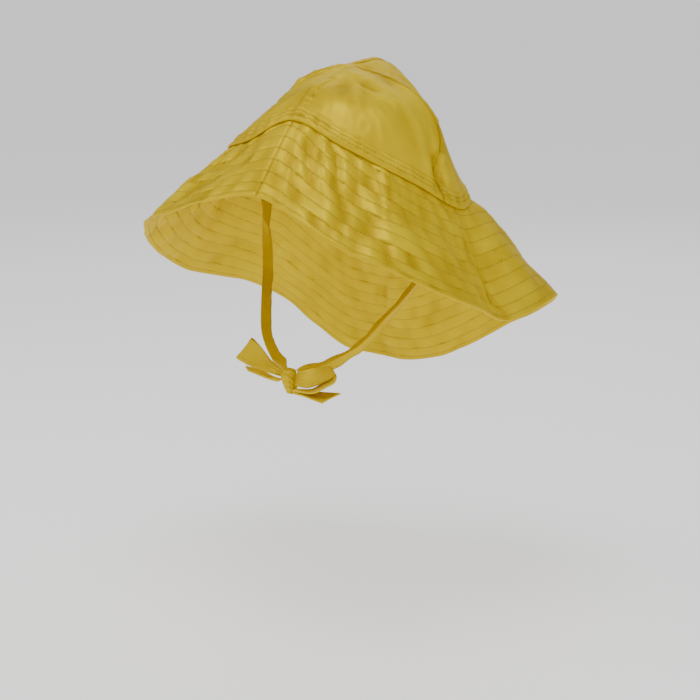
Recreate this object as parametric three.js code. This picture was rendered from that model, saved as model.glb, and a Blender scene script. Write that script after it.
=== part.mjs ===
import * as THREE from 'three';

// Rain hat of coated cloth. Millimetres and degrees, +Z up. The origin is the middle of the
// head opening, the wearer's front is -Y and the wearer's left is +X.
// A bearing is measured about Z from the wearer's front (0) over the wearer's left (90).

// Driving dimensions.
const CROWN_WALL = 1.5;
const BRIM_WALL = 2;
const GAP = 0.35;
const LAP = 9;
const COLUMN = 4.5;
const CROWN_ROWS = 9;
const BRIM_ROWS = 9;
const APEX = [-5, 8, 98];
const APEX_CLEARANCE = 1.4;
const BRIM_SAG = 0.5;
const TAPE_WIDTH = 19;
const TAPE_WALL = 1.1;
const CLOTH = { color: 0xd8c02a, roughness: 0.42, metalness: 0 };

// One row per bearing: each station is [out from the Z axis, up].
const PROFILES = [
  { bearing: 0, edge: [130, 10], seam: [80, 62], waist: [73, 70], shoulder: [55, 83], roof: [28, 89] },
  { bearing: 30, edge: [146, -23], seam: [87, 43], waist: [80, 59.5], shoulder: [65, 78.5], roof: [34, 90] },
  { bearing: 60, edge: [156, -60], seam: [95.5, 18], waist: [88, 42], shoulder: [73, 67.5], roof: [38, 88] },
  { bearing: 90, edge: [146, -90], seam: [100, -7.5], waist: [87, 29], shoulder: [72.5, 63], roof: [39, 88] },
  { bearing: 120, edge: [171, -85], seam: [95.5, -5], waist: [76, 34], shoulder: [64, 63], roof: [39, 87] },
  { bearing: 150, edge: [176, -121], seam: [90, -14], waist: [77.5, 30], shoulder: [67, 68], roof: [41, 90.5] },
  { bearing: 180, edge: [148, -168], seam: [84, -20], waist: [83, 28], shoulder: [75.5, 74], roof: [55, 99] },
  { bearing: 210, edge: [158, -168], seam: [90.5, -12], waist: [86, 32], shoulder: [74.5, 72], roof: [49, 96.5] },
  { bearing: 240, edge: [172, -106], seam: [96.5, 1], waist: [88, 40], shoulder: [70.5, 70.5], roof: [41, 94] },
  { bearing: 270, edge: [172, -79], seam: [100.5, 15], waist: [86, 42], shoulder: [64, 67.5], roof: [33, 92] },
  { bearing: 300, edge: [169, -34], seam: [96.5, 33], waist: [81, 47], shoulder: [60, 64], roof: [27, 88] },
  { bearing: 330, edge: [151, -4], seam: [88.5, 43.5], waist: [76.5, 59], shoulder: [56, 75], roof: [28, 88.5] },
];

// Radial folds of the brim; depth is outward, from and to are shares of the way to the edge.
const BRIM_FOLDS = [
  { name: 'front gable', atSeam: 0, atEdge: 0, spread: 6, depth: 2.5, from: 0, to: 1.3 },
  { name: 'front valley', atSeam: 13, atEdge: 17, spread: 5, depth: -3, from: 0, to: 0.9 },
  { name: 'front ridge', atSeam: 22, atEdge: 27, spread: 5, depth: 2, from: 0, to: 0.7 },
  { name: 'temple valley', atSeam: 37, atEdge: 38, spread: 6, depth: -2, from: 0, to: 0.8 },
  { name: 'temple ridge', atSeam: 52, atEdge: 49, spread: 6, depth: 2.5, from: 0, to: 0.9 },
  { name: 'ear valley', atSeam: 76, atEdge: 72, spread: 6, depth: -2.5, from: 0, to: 0.8 },
  { name: 'side crease', atSeam: 91, atEdge: 91, spread: 6, depth: -5, from: 0, to: 1.3 },
  { name: 'side ridge', atSeam: 101, atEdge: 107, spread: 7, depth: 4, from: 0, to: 1.3 },
  { name: 'side shoulder', atSeam: 118, atEdge: 122, spread: 13, depth: 5, from: 0, to: 0.55 },
  { name: 'rear left ridge', atSeam: 135, atEdge: 140, spread: 8, depth: 3, from: 0.2, to: 1.3 },
  { name: 'rear left valley', atSeam: 160, atEdge: 165, spread: 8, depth: -3, from: 0.2, to: 1.3 },
  { name: 'rear right ridge', atSeam: 205, atEdge: 200, spread: 8, depth: 3, from: 0.2, to: 1.3 },
  { name: 'rear right valley', atSeam: 235, atEdge: 230, spread: 8, depth: -3, from: 0, to: 1 },
  { name: 'right ridge', atSeam: 268, atEdge: 262, spread: 7, depth: 3, from: 0, to: 1 },
  { name: 'right valley', atSeam: 292, atEdge: 288, spread: 6, depth: -3, from: 0, to: 1 },
  { name: 'right temple ridge', atSeam: 318, atEdge: 316, spread: 6, depth: 2.5, from: 0, to: 0.9 },
  { name: 'right front valley', atSeam: 342, atEdge: 338, spread: 5, depth: -2.5, from: 0, to: 0.8 },
];

// The side seams lean: this bearing up to the share low, then back to the side at the share high.
const SIDE_SEAM = { atHem: 78.5, above: 90, low: 0.14, high: 0.4 };

// Dents and ridges of the crown; low and high are shares of the way from the seam to the apex.
const CROWN_FOLDS = [
  { name: 'left seam pucker', bearing: 79, spread: 5, depth: -3, low: 0.02, high: 0.45 },
  { name: 'left seam ridge', bearing: 90, spread: 6, depth: 2, low: 0.06, high: 0.9 },
  { name: 'front seam ridge', bearing: 0, spread: 6, depth: 1.5, low: 0.05, high: 0.95 },
  { name: 'front left hollow', bearing: 40, spread: 16, depth: -2, low: 0.2, high: 0.8 },
  { name: 'rear left hollow', bearing: 138, spread: 12, depth: -3, low: 0.3, high: 0.95 },
  { name: 'back seam ridge', bearing: 180, spread: 6, depth: 1.5, low: 0.1, high: 0.95 },
  { name: 'rear right hollow', bearing: 222, spread: 14, depth: -3, low: 0.3, high: 0.9 },
  { name: 'right seam ridge', bearing: 274, spread: 6, depth: 1.5, low: 0.1, high: 0.9 },
  { name: 'front right puff', bearing: 318, spread: 14, depth: 2, low: 0.5, high: 1 },
];

// Way of each tie from the hat's side to the knot. The tape is folded lengthwise: facing is the
// way that its ridge points, and halfAngle lies between each half and that way (90 is flat).
const LEFT_TIE = [
  { at: [88, 2, -34], facing: [0.95, -0.3, 0.1], halfAngle: 60 },
  { at: [73, -19.5, -69], facing: [0.6, -0.75, 0.3], halfAngle: 17 },
  { at: [60.5, -40, -91], facing: [0.5, -0.78, 0.36], halfAngle: 18 },
  { at: [46.8, -59.5, -112.3], facing: [0.48, -0.76, 0.42], halfAngle: 24 },
  { at: [27, -76, -126], facing: [0.42, -0.78, 0.45], halfAngle: 31 },
  { at: [11, -84.2, -130.8], facing: [0.3, -0.84, 0.4], halfAngle: 34 },
  { at: [6.4, -86.8, -133.3], facing: [0.2, -0.9, 0.3], halfAngle: 32 },
];
const RIGHT_TIE = LEFT_TIE.map(({ at: [x, y, z], facing: [fx, fy, fz], halfAngle }) => (
  { at: [-x, y, z], facing: [-fx, fy, fz], halfAngle }));
const TIE_ANCHORS = { left: { bearing: 98, up: 3 }, right: { bearing: 262, up: 3 } };

// Tapes are gathered to this share of their width where they enter the knot.
const GATHERED = 0.42;
const GATHER_REACH = 14;

// The knot, as level sections: half sizes across and front to back, and its shift to the left.
const KNOT_CENTRE = [0, -89.5];
const KNOT_SECTIONS = [
  { z: -150.5, across: 2.4, deep: 3, shift: 3.4 },
  { z: -149.5, across: 3.6, deep: 4.6, shift: 3.2 },
  { z: -144, across: 4.9, deep: 5.6, shift: 1.7 },
  { z: -140, across: 5.6, deep: 5.4, shift: 0.6 },
  { z: -135, across: 6.1, deep: 5.4, shift: 0 },
  { z: -132, across: 5.4, deep: 5, shift: -0.2 },
  { z: -131, across: 3.6, deep: 3.4, shift: -0.2 },
];

// Bow pieces: the two edges of the tape, row by row from the knot outward and, in a loop, back.
const BOW = {
  bow_loop_left: [
    { upper: [6.8, -87.5, -133.8], lower: [6.6, -91, -144] },
    { upper: [18, -85.3, -129.9], lower: [22.5, -94.5, -142.2] },
    { upper: [30.5, -84, -127.5], lower: [41, -97, -133.4] },
    { upper: [35.2, -83.6, -126.2], lower: [49, -97.8, -128.6] },
    { upper: [38.2, -86.8, -131.2], lower: [50.8, -102.2, -132.4] },
    { upper: [34.6, -88.5, -136], lower: [45.5, -103, -136.2] },
    { upper: [22, -89.2, -144.8], lower: [30.5, -102.5, -143.8] },
    { upper: [7.3, -90.6, -146.2], lower: [7.2, -94.8, -146.6] },
  ],
  bow_loop_right: [
    { upper: [-6.3, -89.5, -133], lower: [-6.4, -90.5, -138] },
    { upper: [-18, -88, -127.5], lower: [-21.5, -89.5, -136.5] },
    { upper: [-28, -86.5, -118], lower: [-37, -88.5, -134] },
    { upper: [-36.8, -86.4, -112.6], lower: [-50, -88.2, -129.7] },
    { upper: [-37.2, -84.2, -112.5], lower: [-50.8, -85.6, -129.3] },
    { upper: [-31, -82.5, -119], lower: [-41, -84, -134.5] },
    { upper: [-20, -84, -128.5], lower: [-24, -85.5, -137] },
    { upper: [-6.6, -87.2, -134], lower: [-6.4, -88, -138.5] },
  ],
  bow_tail_left: [
    { upper: [7.4, -88.5, -148.3], lower: [7.2, -93.4, -148.8] },
    { upper: [15, -86, -147.8], lower: [16, -96.5, -148.6] },
    { upper: [28, -87, -147], lower: [27, -100, -149.2] },
    { upper: [48.5, -90, -144.5], lower: [40.5, -104, -150] },
  ],
  bow_tail_right: [
    { upper: [-5.6, -90.5, -140], lower: [-5.5, -95, -140.4] },
    { upper: [-13, -93.4, -137.8], lower: [-11, -100.4, -138.3] },
    { upper: [-24, -94, -134.5], lower: [-14, -106.5, -135] },
    { upper: [-39, -93, -133.5], lower: [-26, -107.5, -132] },
  ],
};

const UP = new THREE.Vector3(0, 0, 1);
const LEVELS = ['edge', 'seam', 'waist', 'shoulder', 'roof'];

const radians = (degrees) => degrees * Math.PI / 180;

/** Value of a Catmull-Rom curve between q[1] and q[2]. */
function curve(q, t) {
  return 0.5 * (2 * q[1] + (q[2] - q[0]) * t
    + (2 * q[0] - 5 * q[1] + 4 * q[2] - q[3]) * t * t
    + (3 * q[1] - q[0] - 3 * q[2] + q[3]) * t * t * t);
}

/** Point of one station's ring at a bearing. */
function ringPoint(level, bearing) {
  const count = PROFILES.length;
  const place = (((bearing % 360) + 360) % 360) / (360 / count);
  const first = Math.floor(place);
  const near = [-1, 0, 1, 2].map((k) => PROFILES[(first + k + count) % count][level]);
  const out = curve(near.map((station) => station[0]), place - first);
  const up = curve(near.map((station) => station[1]), place - first);
  const turn = radians(bearing);
  return new THREE.Vector3(out * Math.sin(turn), -out * Math.cos(turn), up);
}

/** Smooth bump of height one, as wide as spread on each side. */
function bump(offset, spread) {
  const turn = ((offset + 540) % 360) - 180;
  return Math.exp(-(turn * turn) / (spread * spread));
}

/** Height of a fold along its length, from none at low to none at high. */
function swell(share, low, high) {
  const t = Math.min(Math.max((share - low) / (high - low), 0), 1);
  return Math.sin(Math.PI * t);
}

/** Direction out of the hat at a bearing, leaning up by lift. */
function outward(bearing, lift) {
  const turn = radians(bearing);
  return new THREE.Vector3(Math.sin(turn), -Math.cos(turn), lift).normalize();
}

/** Point of the crown: share runs from 0 at the seam to 1 at the apex. */
function crownPoint(bearing, share) {
  const stations = LEVELS.slice(1).map((level) => ringPoint(level, bearing));
  stations.push(new THREE.Vector3(...APEX));
  const last = stations.length - 1;
  const before = stations[0].clone().multiplyScalar(2).sub(stations[1]);
  const after = stations[last].clone().multiplyScalar(2).sub(stations[last - 1]);
  const line = [before, ...stations, after];
  const place = Math.min(Math.max(share, 0) * last, last - 1e-6);
  const first = Math.floor(place);
  const near = line.slice(first, first + 4);
  const point = new THREE.Vector3(
    curve(near.map((p) => p.x), place - first),
    curve(near.map((p) => p.y), place - first),
    curve(near.map((p) => p.z), place - first),
  );
  let push = 0;
  for (const fold of CROWN_FOLDS) {
    push += fold.depth * bump(bearing - fold.bearing, fold.spread) * swell(share, fold.low, fold.high);
  }
  return point.addScaledVector(outward(bearing, 0.4), push);
}

/** Share of the way up the crown that lies so many millimetres above the seam. */
function crownShare(bearing, height) {
  const reach = ringPoint('seam', bearing).distanceTo(ringPoint('waist', bearing));
  return height / reach / 4;
}

/** Point of the brim: share runs from 0 at the seam to 1 at the edge. */
function brimPoint(bearing, share) {
  const point = ringPoint('seam', bearing).lerp(ringPoint('edge', bearing), share);
  let push = -BRIM_SAG * Math.sin(Math.PI * share);
  for (const fold of BRIM_FOLDS) {
    const middle = fold.atSeam + (fold.atEdge - fold.atSeam) * share;
    push += fold.depth * bump(bearing - middle, fold.spread) * swell(share, fold.from, fold.to);
  }
  return point.addScaledVector(outward(bearing, 0.7), push);
}

/** Points and outward normals of a surface at a bearing, by small differences round the hat. */
function station(pointAt, bearing, place, step) {
  const along = pointAt(bearing + 2, place).sub(pointAt(bearing - 2, place));
  const across = pointAt(bearing, place + step).sub(pointAt(bearing, place - step));
  const normal = new THREE.Vector3().crossVectors(along, across).normalize();
  const nearApex = step > 0 ? THREE.MathUtils.smoothstep(place, 0.7, 0.92) : 0;
  normal.lerp(UP, nearApex).normalize();
  return { point: pointAt(bearing, place), normal };
}

/** Bearing that lies half a gap inside a piece's side line. */
function insideSeam(pointAt, bearing, place, side) {
  const spacing = pointAt(bearing + side, place).distanceTo(pointAt(bearing, place));
  return bearing + side * Math.min(GAP / 2 / spacing * 1.15, 30);
}

/** Closed mesh of a wall whose outer and inner faces are grids of the same size. */
function wallMesh(name, outer, inner) {
  const rows = outer.length;
  const columns = outer[0].length;
  const positions = [];
  for (const grid of [outer, inner]) {
    for (const row of grid) {
      row.forEach((p) => positions.push(p.x, p.y, p.z));
    }
  }
  const size = rows * columns;
  const index = [];
  const quad = (a, b, c, d) => index.push(a, b, c, a, c, d);
  const at = (face, row, column) => face * size + row * columns + column;
  for (let r = 0; r < rows - 1; r += 1) {
    for (let c = 0; c < columns - 1; c += 1) {
      quad(at(0, r, c), at(0, r, c + 1), at(0, r + 1, c + 1), at(0, r + 1, c));
      quad(at(1, r, c), at(1, r + 1, c), at(1, r + 1, c + 1), at(1, r, c + 1));
    }
    quad(at(0, r, 0), at(0, r + 1, 0), at(1, r + 1, 0), at(1, r, 0));
    quad(at(0, r + 1, columns - 1), at(0, r, columns - 1), at(1, r, columns - 1), at(1, r + 1, columns - 1));
  }
  for (let c = 0; c < columns - 1; c += 1) {
    quad(at(0, 0, c + 1), at(0, 0, c), at(1, 0, c), at(1, 0, c + 1));
    quad(at(0, rows - 1, c), at(0, rows - 1, c + 1), at(1, rows - 1, c + 1), at(1, rows - 1, c));
  }
  return closedMesh(name, positions, index);
}

/** Named mesh from flat positions and triangle indices. */
function closedMesh(name, positions, index) {
  const geometry = new THREE.BufferGeometry();
  geometry.setAttribute('position', new THREE.Float32BufferAttribute(positions, 3));
  geometry.setIndex(index);
  geometry.computeVertexNormals();
  const mesh = new THREE.Mesh(geometry, new THREE.MeshStandardMaterial(CLOTH));
  mesh.name = name;
  return mesh;
}

/** Bearings of a row of points between two side lines. */
function columnsBetween(pointAt, from, to, count) {
  const start = insideSeam(pointAt, from, 0, 1);
  const end = insideSeam(pointAt, to, 0, -1);
  return Array.from({ length: count + 1 }, (unused, k) => start + (end - start) * k / count);
}

/** Bearing of a crown seam at a share of the way up; side is 0, 90, 180, 270 or 360. */
function seamBearing(side, share) {
  const lean = (SIDE_SEAM.above - SIDE_SEAM.atHem)
    * (1 - THREE.MathUtils.smoothstep(share, SIDE_SEAM.low, SIDE_SEAM.high));
  if (side % 180 === 0) return side;
  return side === 90 ? side - lean : side + lean;
}

/** One crown panel between two bearings. Its hem laps over the brim's top edge. */
function crownPanel(name, from, to) {
  const places = [0, LAP / 2, LAP].map((height) => (bearing) => crownShare(bearing, height));
  const top = 1 - APEX_CLEARANCE / 140;
  for (let k = 1; k <= CROWN_ROWS; k += 1) {
    places.push((bearing) => {
      const low = crownShare(bearing, LAP);
      return low + (top - low) * k / CROWN_ROWS;
    });
  }
  const outer = [];
  const inner = [];
  const count = Math.round((to - from) / COLUMN);
  for (const placeAt of places) {
    const pointAt = (bearing) => crownPoint(bearing, placeAt(bearing));
    const start = seamBearing(from, placeAt(from));
    const end = seamBearing(to, placeAt(to));
    const row = columnsBetween(pointAt, start, end, count).map((bearing) => (
      station(crownPoint, bearing, placeAt(bearing), 0.02)));
    outer.push(row.map((s) => s.point.clone().addScaledVector(s.normal, GAP + CROWN_WALL)));
    inner.push(row.map((s) => s.point.clone().addScaledVector(s.normal, GAP)));
  }
  return wallMesh(name, outer, inner);
}

/** One half of the brim. Its top edge reaches up inside the crown's hem. */
function brimHalf(name, from, to) {
  const count = Math.round((to - from) / COLUMN);
  const outer = [];
  const inner = [];
  const addRow = (pointAt, placeAt, step) => {
    const alongRow = (bearing) => pointAt(bearing, placeAt(bearing));
    const row = columnsBetween(alongRow, from, to, count).map((bearing) => (
      station(pointAt, bearing, placeAt(bearing), step)));
    outer.push(row.map((s) => s.point));
    inner.push(row.map((s) => s.point.clone().addScaledVector(s.normal, -BRIM_WALL)));
  };
  for (let k = 0; k < BRIM_ROWS; k += 1) {
    addRow(brimPoint, () => 1 - k / BRIM_ROWS, -0.02);
  }
  for (const height of [0, LAP / 2, LAP]) {
    addRow(crownPoint, (bearing) => crownShare(bearing, height), 0.02);
  }
  return wallMesh(name, outer, inner);
}

/** Tape swept along frames; each frame lists its section's corners in turn. */
function sweptMesh(name, frames) {
  const sides = frames[0].length;
  const positions = frames.flat().flatMap((p) => [p.x, p.y, p.z]);
  const index = [];
  for (let k = 0; k < frames.length - 1; k += 1) {
    for (let s = 0; s < sides; s += 1) {
      const next = (s + 1) % sides;
      const a = k * sides + s;
      const b = k * sides + next;
      index.push(a, b, b + sides, a, b + sides, a + sides);
    }
  }
  const shape = frames[0].map((p) => p.clone());
  const across = shape[0].clone().sub(shape[2]).normalize();
  const along = frames[1][0].clone().sub(frames[0][0]).normalize();
  const upright = new THREE.Vector3().crossVectors(along, across).normalize();
  const flat = shape.map((p) => new THREE.Vector2(p.dot(across), p.dot(upright)));
  const cap = THREE.ShapeUtils.triangulateShape(flat, []);
  const end = (frames.length - 1) * sides;
  const turned = THREE.ShapeUtils.isClockWise(flat);
  for (const [a, b, c] of cap) {
    index.push(...(turned ? [a, b, c] : [a, c, b]));
    index.push(...(turned ? [end + a, end + c, end + b] : [end + a, end + b, end + c]));
  }
  return closedMesh(name, positions, index);
}

/** Mesh with its faces turned outward. */
function facedOutward(mesh) {
  const { position } = mesh.geometry.attributes;
  const index = mesh.geometry.index.array;
  const corner = (k) => new THREE.Vector3().fromBufferAttribute(position, index[k]);
  let volume = 0;
  for (let k = 0; k < index.length; k += 3) {
    volume += corner(k).dot(corner(k + 1).cross(corner(k + 2)));
  }
  if (volume < 0) {
    for (let k = 0; k < index.length; k += 3) {
      [index[k + 1], index[k + 2]] = [index[k + 2], index[k + 1]];
    }
    mesh.geometry.computeVertexNormals();
  }
  return mesh;
}

/** Tie: a flat tape at the hat that folds lengthwise on its way to the knot. */
function tieMesh(name, anchor, rows) {
  const fix = station(crownPoint, anchor.bearing, crownShare(anchor.bearing, anchor.up), 0.02);
  const depth = BRIM_WALL + GAP + 0.5;
  const top = fix.point.clone().addScaledVector(fix.normal, -depth);
  const lower = top.clone().add(new THREE.Vector3(0, 0, -14)).addScaledVector(fix.normal, -2.5);
  const points = [top, lower, ...rows.map((row) => new THREE.Vector3(...row.at))];
  const angles = [90, 88, ...rows.map((row) => row.halfAngle)];
  const facing = [fix.normal, fix.normal, ...rows.map((row) => new THREE.Vector3(...row.facing))];
  const route = new THREE.CatmullRomCurve3(points, false, 'centripetal');
  const steps = 44;
  const length = route.getLength();
  const frames = [];
  for (let k = 0; k <= steps; k += 1) {
    const t = k / steps;
    const place = t * (points.length - 1);
    const first = Math.min(Math.floor(place), points.length - 2);
    const angle = radians(THREE.MathUtils.lerp(angles[first], angles[first + 1], place - first));
    const centre = route.getPoint(t);
    const tangent = route.getTangent(t);
    const out = facing[first].clone().lerp(facing[first + 1], place - first);
    out.addScaledVector(tangent, -out.dot(tangent)).normalize();
    const side = new THREE.Vector3().crossVectors(tangent, out).normalize();
    const corner = (across, depthIn) => centre.clone()
      .addScaledVector(side, across).addScaledVector(out, depthIn);
    const toKnot = THREE.MathUtils.smoothstep(length * (1 - t), 0, GATHER_REACH);
    const half = TAPE_WIDTH / 2 * THREE.MathUtils.lerp(GATHERED, 1, toKnot);
    const reach = half * Math.sin(angle);
    const drop = half * Math.cos(angle);
    const wallAcross = TAPE_WALL * Math.cos(angle);
    const wallDeep = TAPE_WALL * Math.sin(angle);
    frames.push([
      corner(-reach, -drop),
      corner(0, 0),
      corner(reach, -drop),
      corner(reach - wallAcross, -drop - wallDeep),
      corner(0, -TAPE_WALL / Math.max(Math.sin(angle), 0.3)),
      corner(-reach + wallAcross, -drop - wallDeep),
    ]);
  }
  return facedOutward(sweptMesh(name, frames));
}

/** Knot: rounded level sections with two closed ends. */
function knotMesh() {
  const sides = 16;
  const [cx, cy] = KNOT_CENTRE;
  const frames = KNOT_SECTIONS.map((section) => Array.from({ length: sides }, (unused, k) => {
    const turn = 2 * Math.PI * k / sides;
    const square = (value) => Math.sign(value) * Math.abs(value) ** 0.7;
    return new THREE.Vector3(
      cx + section.shift + section.across * square(Math.cos(turn)),
      cy + section.deep * square(Math.sin(turn)),
      section.z,
    );
  }));
  return facedOutward(sweptMesh('bow_knot', frames));
}

/** Loop or tail of the bow: a flat tape between its two edges. */
function bowPiece(name, rows) {
  const edge = (key) => new THREE.CatmullRomCurve3(
    rows.map((row) => new THREE.Vector3(...row[key])), false, 'centripetal');
  const upper = edge('upper');
  const lower = edge('lower');
  const steps = (rows.length - 1) * 4;
  const frames = [];
  for (let k = 0; k <= steps; k += 1) {
    const top = upper.getPoint(k / steps);
    const bottom = lower.getPoint(k / steps);
    const along = upper.getTangent(k / steps).add(lower.getTangent(k / steps));
    const face = new THREE.Vector3().crossVectors(along, top.clone().sub(bottom)).normalize();
    const shift = (p, side) => p.clone().addScaledVector(face, side * TAPE_WALL / 2);
    frames.push([shift(bottom, -1), shift(top, -1), shift(top, 1), shift(bottom, 1)]);
  }
  return facedOutward(sweptMesh(name, frames));
}

const hat = new THREE.Group();
hat.name = 'rain_hat';
hat.add(
  crownPanel('crown_front_left', 0, 90),
  crownPanel('crown_back_left', 90, 180),
  crownPanel('crown_back_right', 180, 270),
  crownPanel('crown_front_right', 270, 360),
  brimHalf('brim_left', 0, 180),
  brimHalf('brim_right', 180, 360),
  tieMesh('tie_left', TIE_ANCHORS.left, LEFT_TIE),
  tieMesh('tie_right', TIE_ANCHORS.right, RIGHT_TIE),
  knotMesh(),
  ...Object.entries(BOW).map(([name, piece]) => bowPiece(name, piece)),
);
hat.children.forEach(facedOutward);

export default hat;
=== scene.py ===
"""Rain hat of yellow coated cloth, worn shape, with its chin ties in a bow.

Lengths in the tables are millimetres in the part's frame: +Z is up, the wearer's front is -Y
and the wearer's left is +X. A bearing runs about Z from the wearer's front (0) over the
wearer's left (90). Meshes are made in metres.
"""

from __future__ import annotations

import logging
import math
from dataclasses import dataclass, field
from enum import Enum
from typing import Callable, Sequence

import bpy
import numpy as np
from mathutils import Matrix, Vector

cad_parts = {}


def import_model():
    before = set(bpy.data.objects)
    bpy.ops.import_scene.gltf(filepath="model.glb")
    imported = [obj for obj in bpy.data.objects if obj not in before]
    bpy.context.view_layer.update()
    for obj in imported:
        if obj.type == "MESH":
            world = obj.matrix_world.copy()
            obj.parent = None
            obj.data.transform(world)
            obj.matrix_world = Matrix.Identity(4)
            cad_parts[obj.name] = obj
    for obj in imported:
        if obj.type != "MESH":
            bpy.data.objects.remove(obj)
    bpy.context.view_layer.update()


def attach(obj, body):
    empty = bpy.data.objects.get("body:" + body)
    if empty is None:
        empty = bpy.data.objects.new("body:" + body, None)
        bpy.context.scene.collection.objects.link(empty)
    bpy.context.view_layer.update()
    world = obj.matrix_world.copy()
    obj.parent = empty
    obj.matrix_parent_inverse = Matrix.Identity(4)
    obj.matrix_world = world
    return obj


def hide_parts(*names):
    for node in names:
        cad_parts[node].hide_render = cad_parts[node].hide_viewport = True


LOG = logging.getLogger("rain_hat")
MM = 0.001
INNER_SHIFT = 10.0  # sideways in the map: an inner face gets its own weave but the same sewn rows
Array = np.ndarray


# ---- form of the worn hat


class Station(Enum):
    """Named rings of the hat, from the brim's edge up to the crown's roof."""

    EDGE = 0
    SEAM = 1
    WAIST = 2
    SHOULDER = 3
    ROOF = 4


class Side(Enum):
    """Face of a wall."""

    OUTER = 1
    INNER = -1


PROFILES: dict[int, tuple[tuple[float, float], ...]] = {
    0: ((130, 10), (80, 62), (73, 70), (55, 83), (28, 89)),
    30: ((146, -23), (87, 43), (80, 59.5), (65, 78.5), (34, 90)),
    60: ((156, -60), (95.5, 18), (88, 42), (73, 67.5), (38, 88)),
    90: ((146, -90), (100, -7.5), (87, 29), (72.5, 63), (39, 88)),
    120: ((171, -85), (95.5, -5), (76, 34), (64, 63), (39, 87)),
    150: ((176, -121), (90, -14), (77.5, 30), (67, 68), (41, 90.5)),
    180: ((148, -168), (84, -20), (83, 28), (75.5, 74), (55, 99)),
    210: ((158, -168), (90.5, -12), (86, 32), (74.5, 72), (49, 96.5)),
    240: ((172, -106), (96.5, 1), (88, 40), (70.5, 70.5), (41, 94)),
    270: ((172, -79), (100.5, 15), (86, 42), (64, 67.5), (33, 92)),
    300: ((169, -34), (96.5, 33), (81, 47), (60, 64), (27, 88)),
    330: ((151, -4), (88.5, 43.5), (76.5, 59), (56, 75), (28, 88.5)),
}


@dataclass(frozen=True)
class Fold:
    """Radial fold of the brim; depth is outward, start and stop are shares of the way out."""

    name: str
    at_seam: float
    at_edge: float
    spread: float
    depth: float
    start: float
    stop: float


@dataclass(frozen=True)
class Dent:
    """Upright dent or ridge of the crown between two shares of the way to the apex."""

    name: str
    bearing: float
    spread: float
    depth: float
    low: float
    high: float


BRIM_FOLDS: tuple[Fold, ...] = (
    Fold("front gable", 0, 0, 6, 2.5, 0, 1.3),
    Fold("front valley", 13, 17, 5, -3, 0, 0.9),
    Fold("front ridge", 22, 27, 5, 2, 0, 0.7),
    Fold("temple valley", 37, 38, 6, -2, 0, 0.8),
    Fold("temple ridge", 52, 49, 6, 2.5, 0, 0.9),
    Fold("ear valley", 76, 72, 6, -2.5, 0, 0.8),
    Fold("side crease", 91, 91, 6, -5, 0, 1.3),
    Fold("side ridge", 101, 107, 7, 4, 0, 1.3),
    Fold("side shoulder", 118, 122, 13, 5, 0, 0.55),
    Fold("rear left ridge", 135, 140, 8, 3, 0.2, 1.3),
    Fold("rear left valley", 160, 165, 8, -3, 0.2, 1.3),
    Fold("rear right ridge", 205, 200, 8, 3, 0.2, 1.3),
    Fold("rear right valley", 235, 230, 8, -3, 0, 1),
    Fold("right ridge", 268, 262, 7, 3, 0, 1),
    Fold("right valley", 292, 288, 6, -3, 0, 1),
    Fold("right temple ridge", 318, 316, 6, 2.5, 0, 0.9),
    Fold("right front valley", 342, 338, 5, -2.5, 0, 0.8),
)

CROWN_DENTS: tuple[Dent, ...] = (
    Dent("left seam pucker", 79, 5, -3, 0.02, 0.45),
    Dent("left seam ridge", 90, 6, 2, 0.06, 0.9),
    Dent("front seam ridge", 0, 6, 1.5, 0.05, 0.95),
    Dent("front left hollow", 40, 16, -2, 0.2, 0.8),
    Dent("rear left hollow", 138, 12, -3, 0.3, 0.95),
    Dent("back seam ridge", 180, 6, 1.5, 0.1, 0.95),
    Dent("rear right hollow", 222, 14, -3, 0.3, 0.9),
    Dent("right seam ridge", 274, 6, 1.5, 0.1, 0.9),
    Dent("front right puff", 318, 14, 2, 0.5, 1),
)


def unit(vectors: Array) -> Array:
    """Vectors of length one; a vector of no length stays zero."""
    length = np.linalg.norm(vectors, axis=-1, keepdims=True)
    return vectors / np.maximum(length, 1e-9)


def smoothstep(value: Array, low: float, high: float) -> Array:
    """Smooth rise from 0 at low to 1 at high."""
    t = np.clip((value - low) / (high - low), 0, 1)
    return t * t * (3 - 2 * t)


def spline(q: Sequence[Array], t: Array) -> Array:
    """Value of a Catmull-Rom curve between its second and third control values.

    Args:
        q: The four control values.
        t: Share of the way between the middle two.

    Returns:
        The curve's value.
    """
    return 0.5 * (
        2 * q[1]
        + (q[2] - q[0]) * t
        + (2 * q[0] - 5 * q[1] + 4 * q[2] - q[3]) * t**2
        + (3 * q[1] - q[0] - 3 * q[2] + q[3]) * t**3
    )


def bump(offset: Array, spread: float) -> Array:
    """Smooth bump of height one round an angle, as wide as spread on each side."""
    turn = np.mod(offset + 180, 360) - 180
    return np.exp(-((turn / spread) ** 2))


def swell(share: Array, low: float, high: float) -> Array:
    """Height along a fold: none at low, one half way, none at high."""
    return np.sin(np.pi * np.clip((share - low) / (high - low), 0, 1))


def outward(bearing: Array, lift: float) -> Array:
    """Direction out of the hat at a bearing, leaning up by lift."""
    turn = np.radians(bearing)
    return unit(np.stack([np.sin(turn), -np.cos(turn), np.full_like(turn, lift)], -1))


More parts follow.
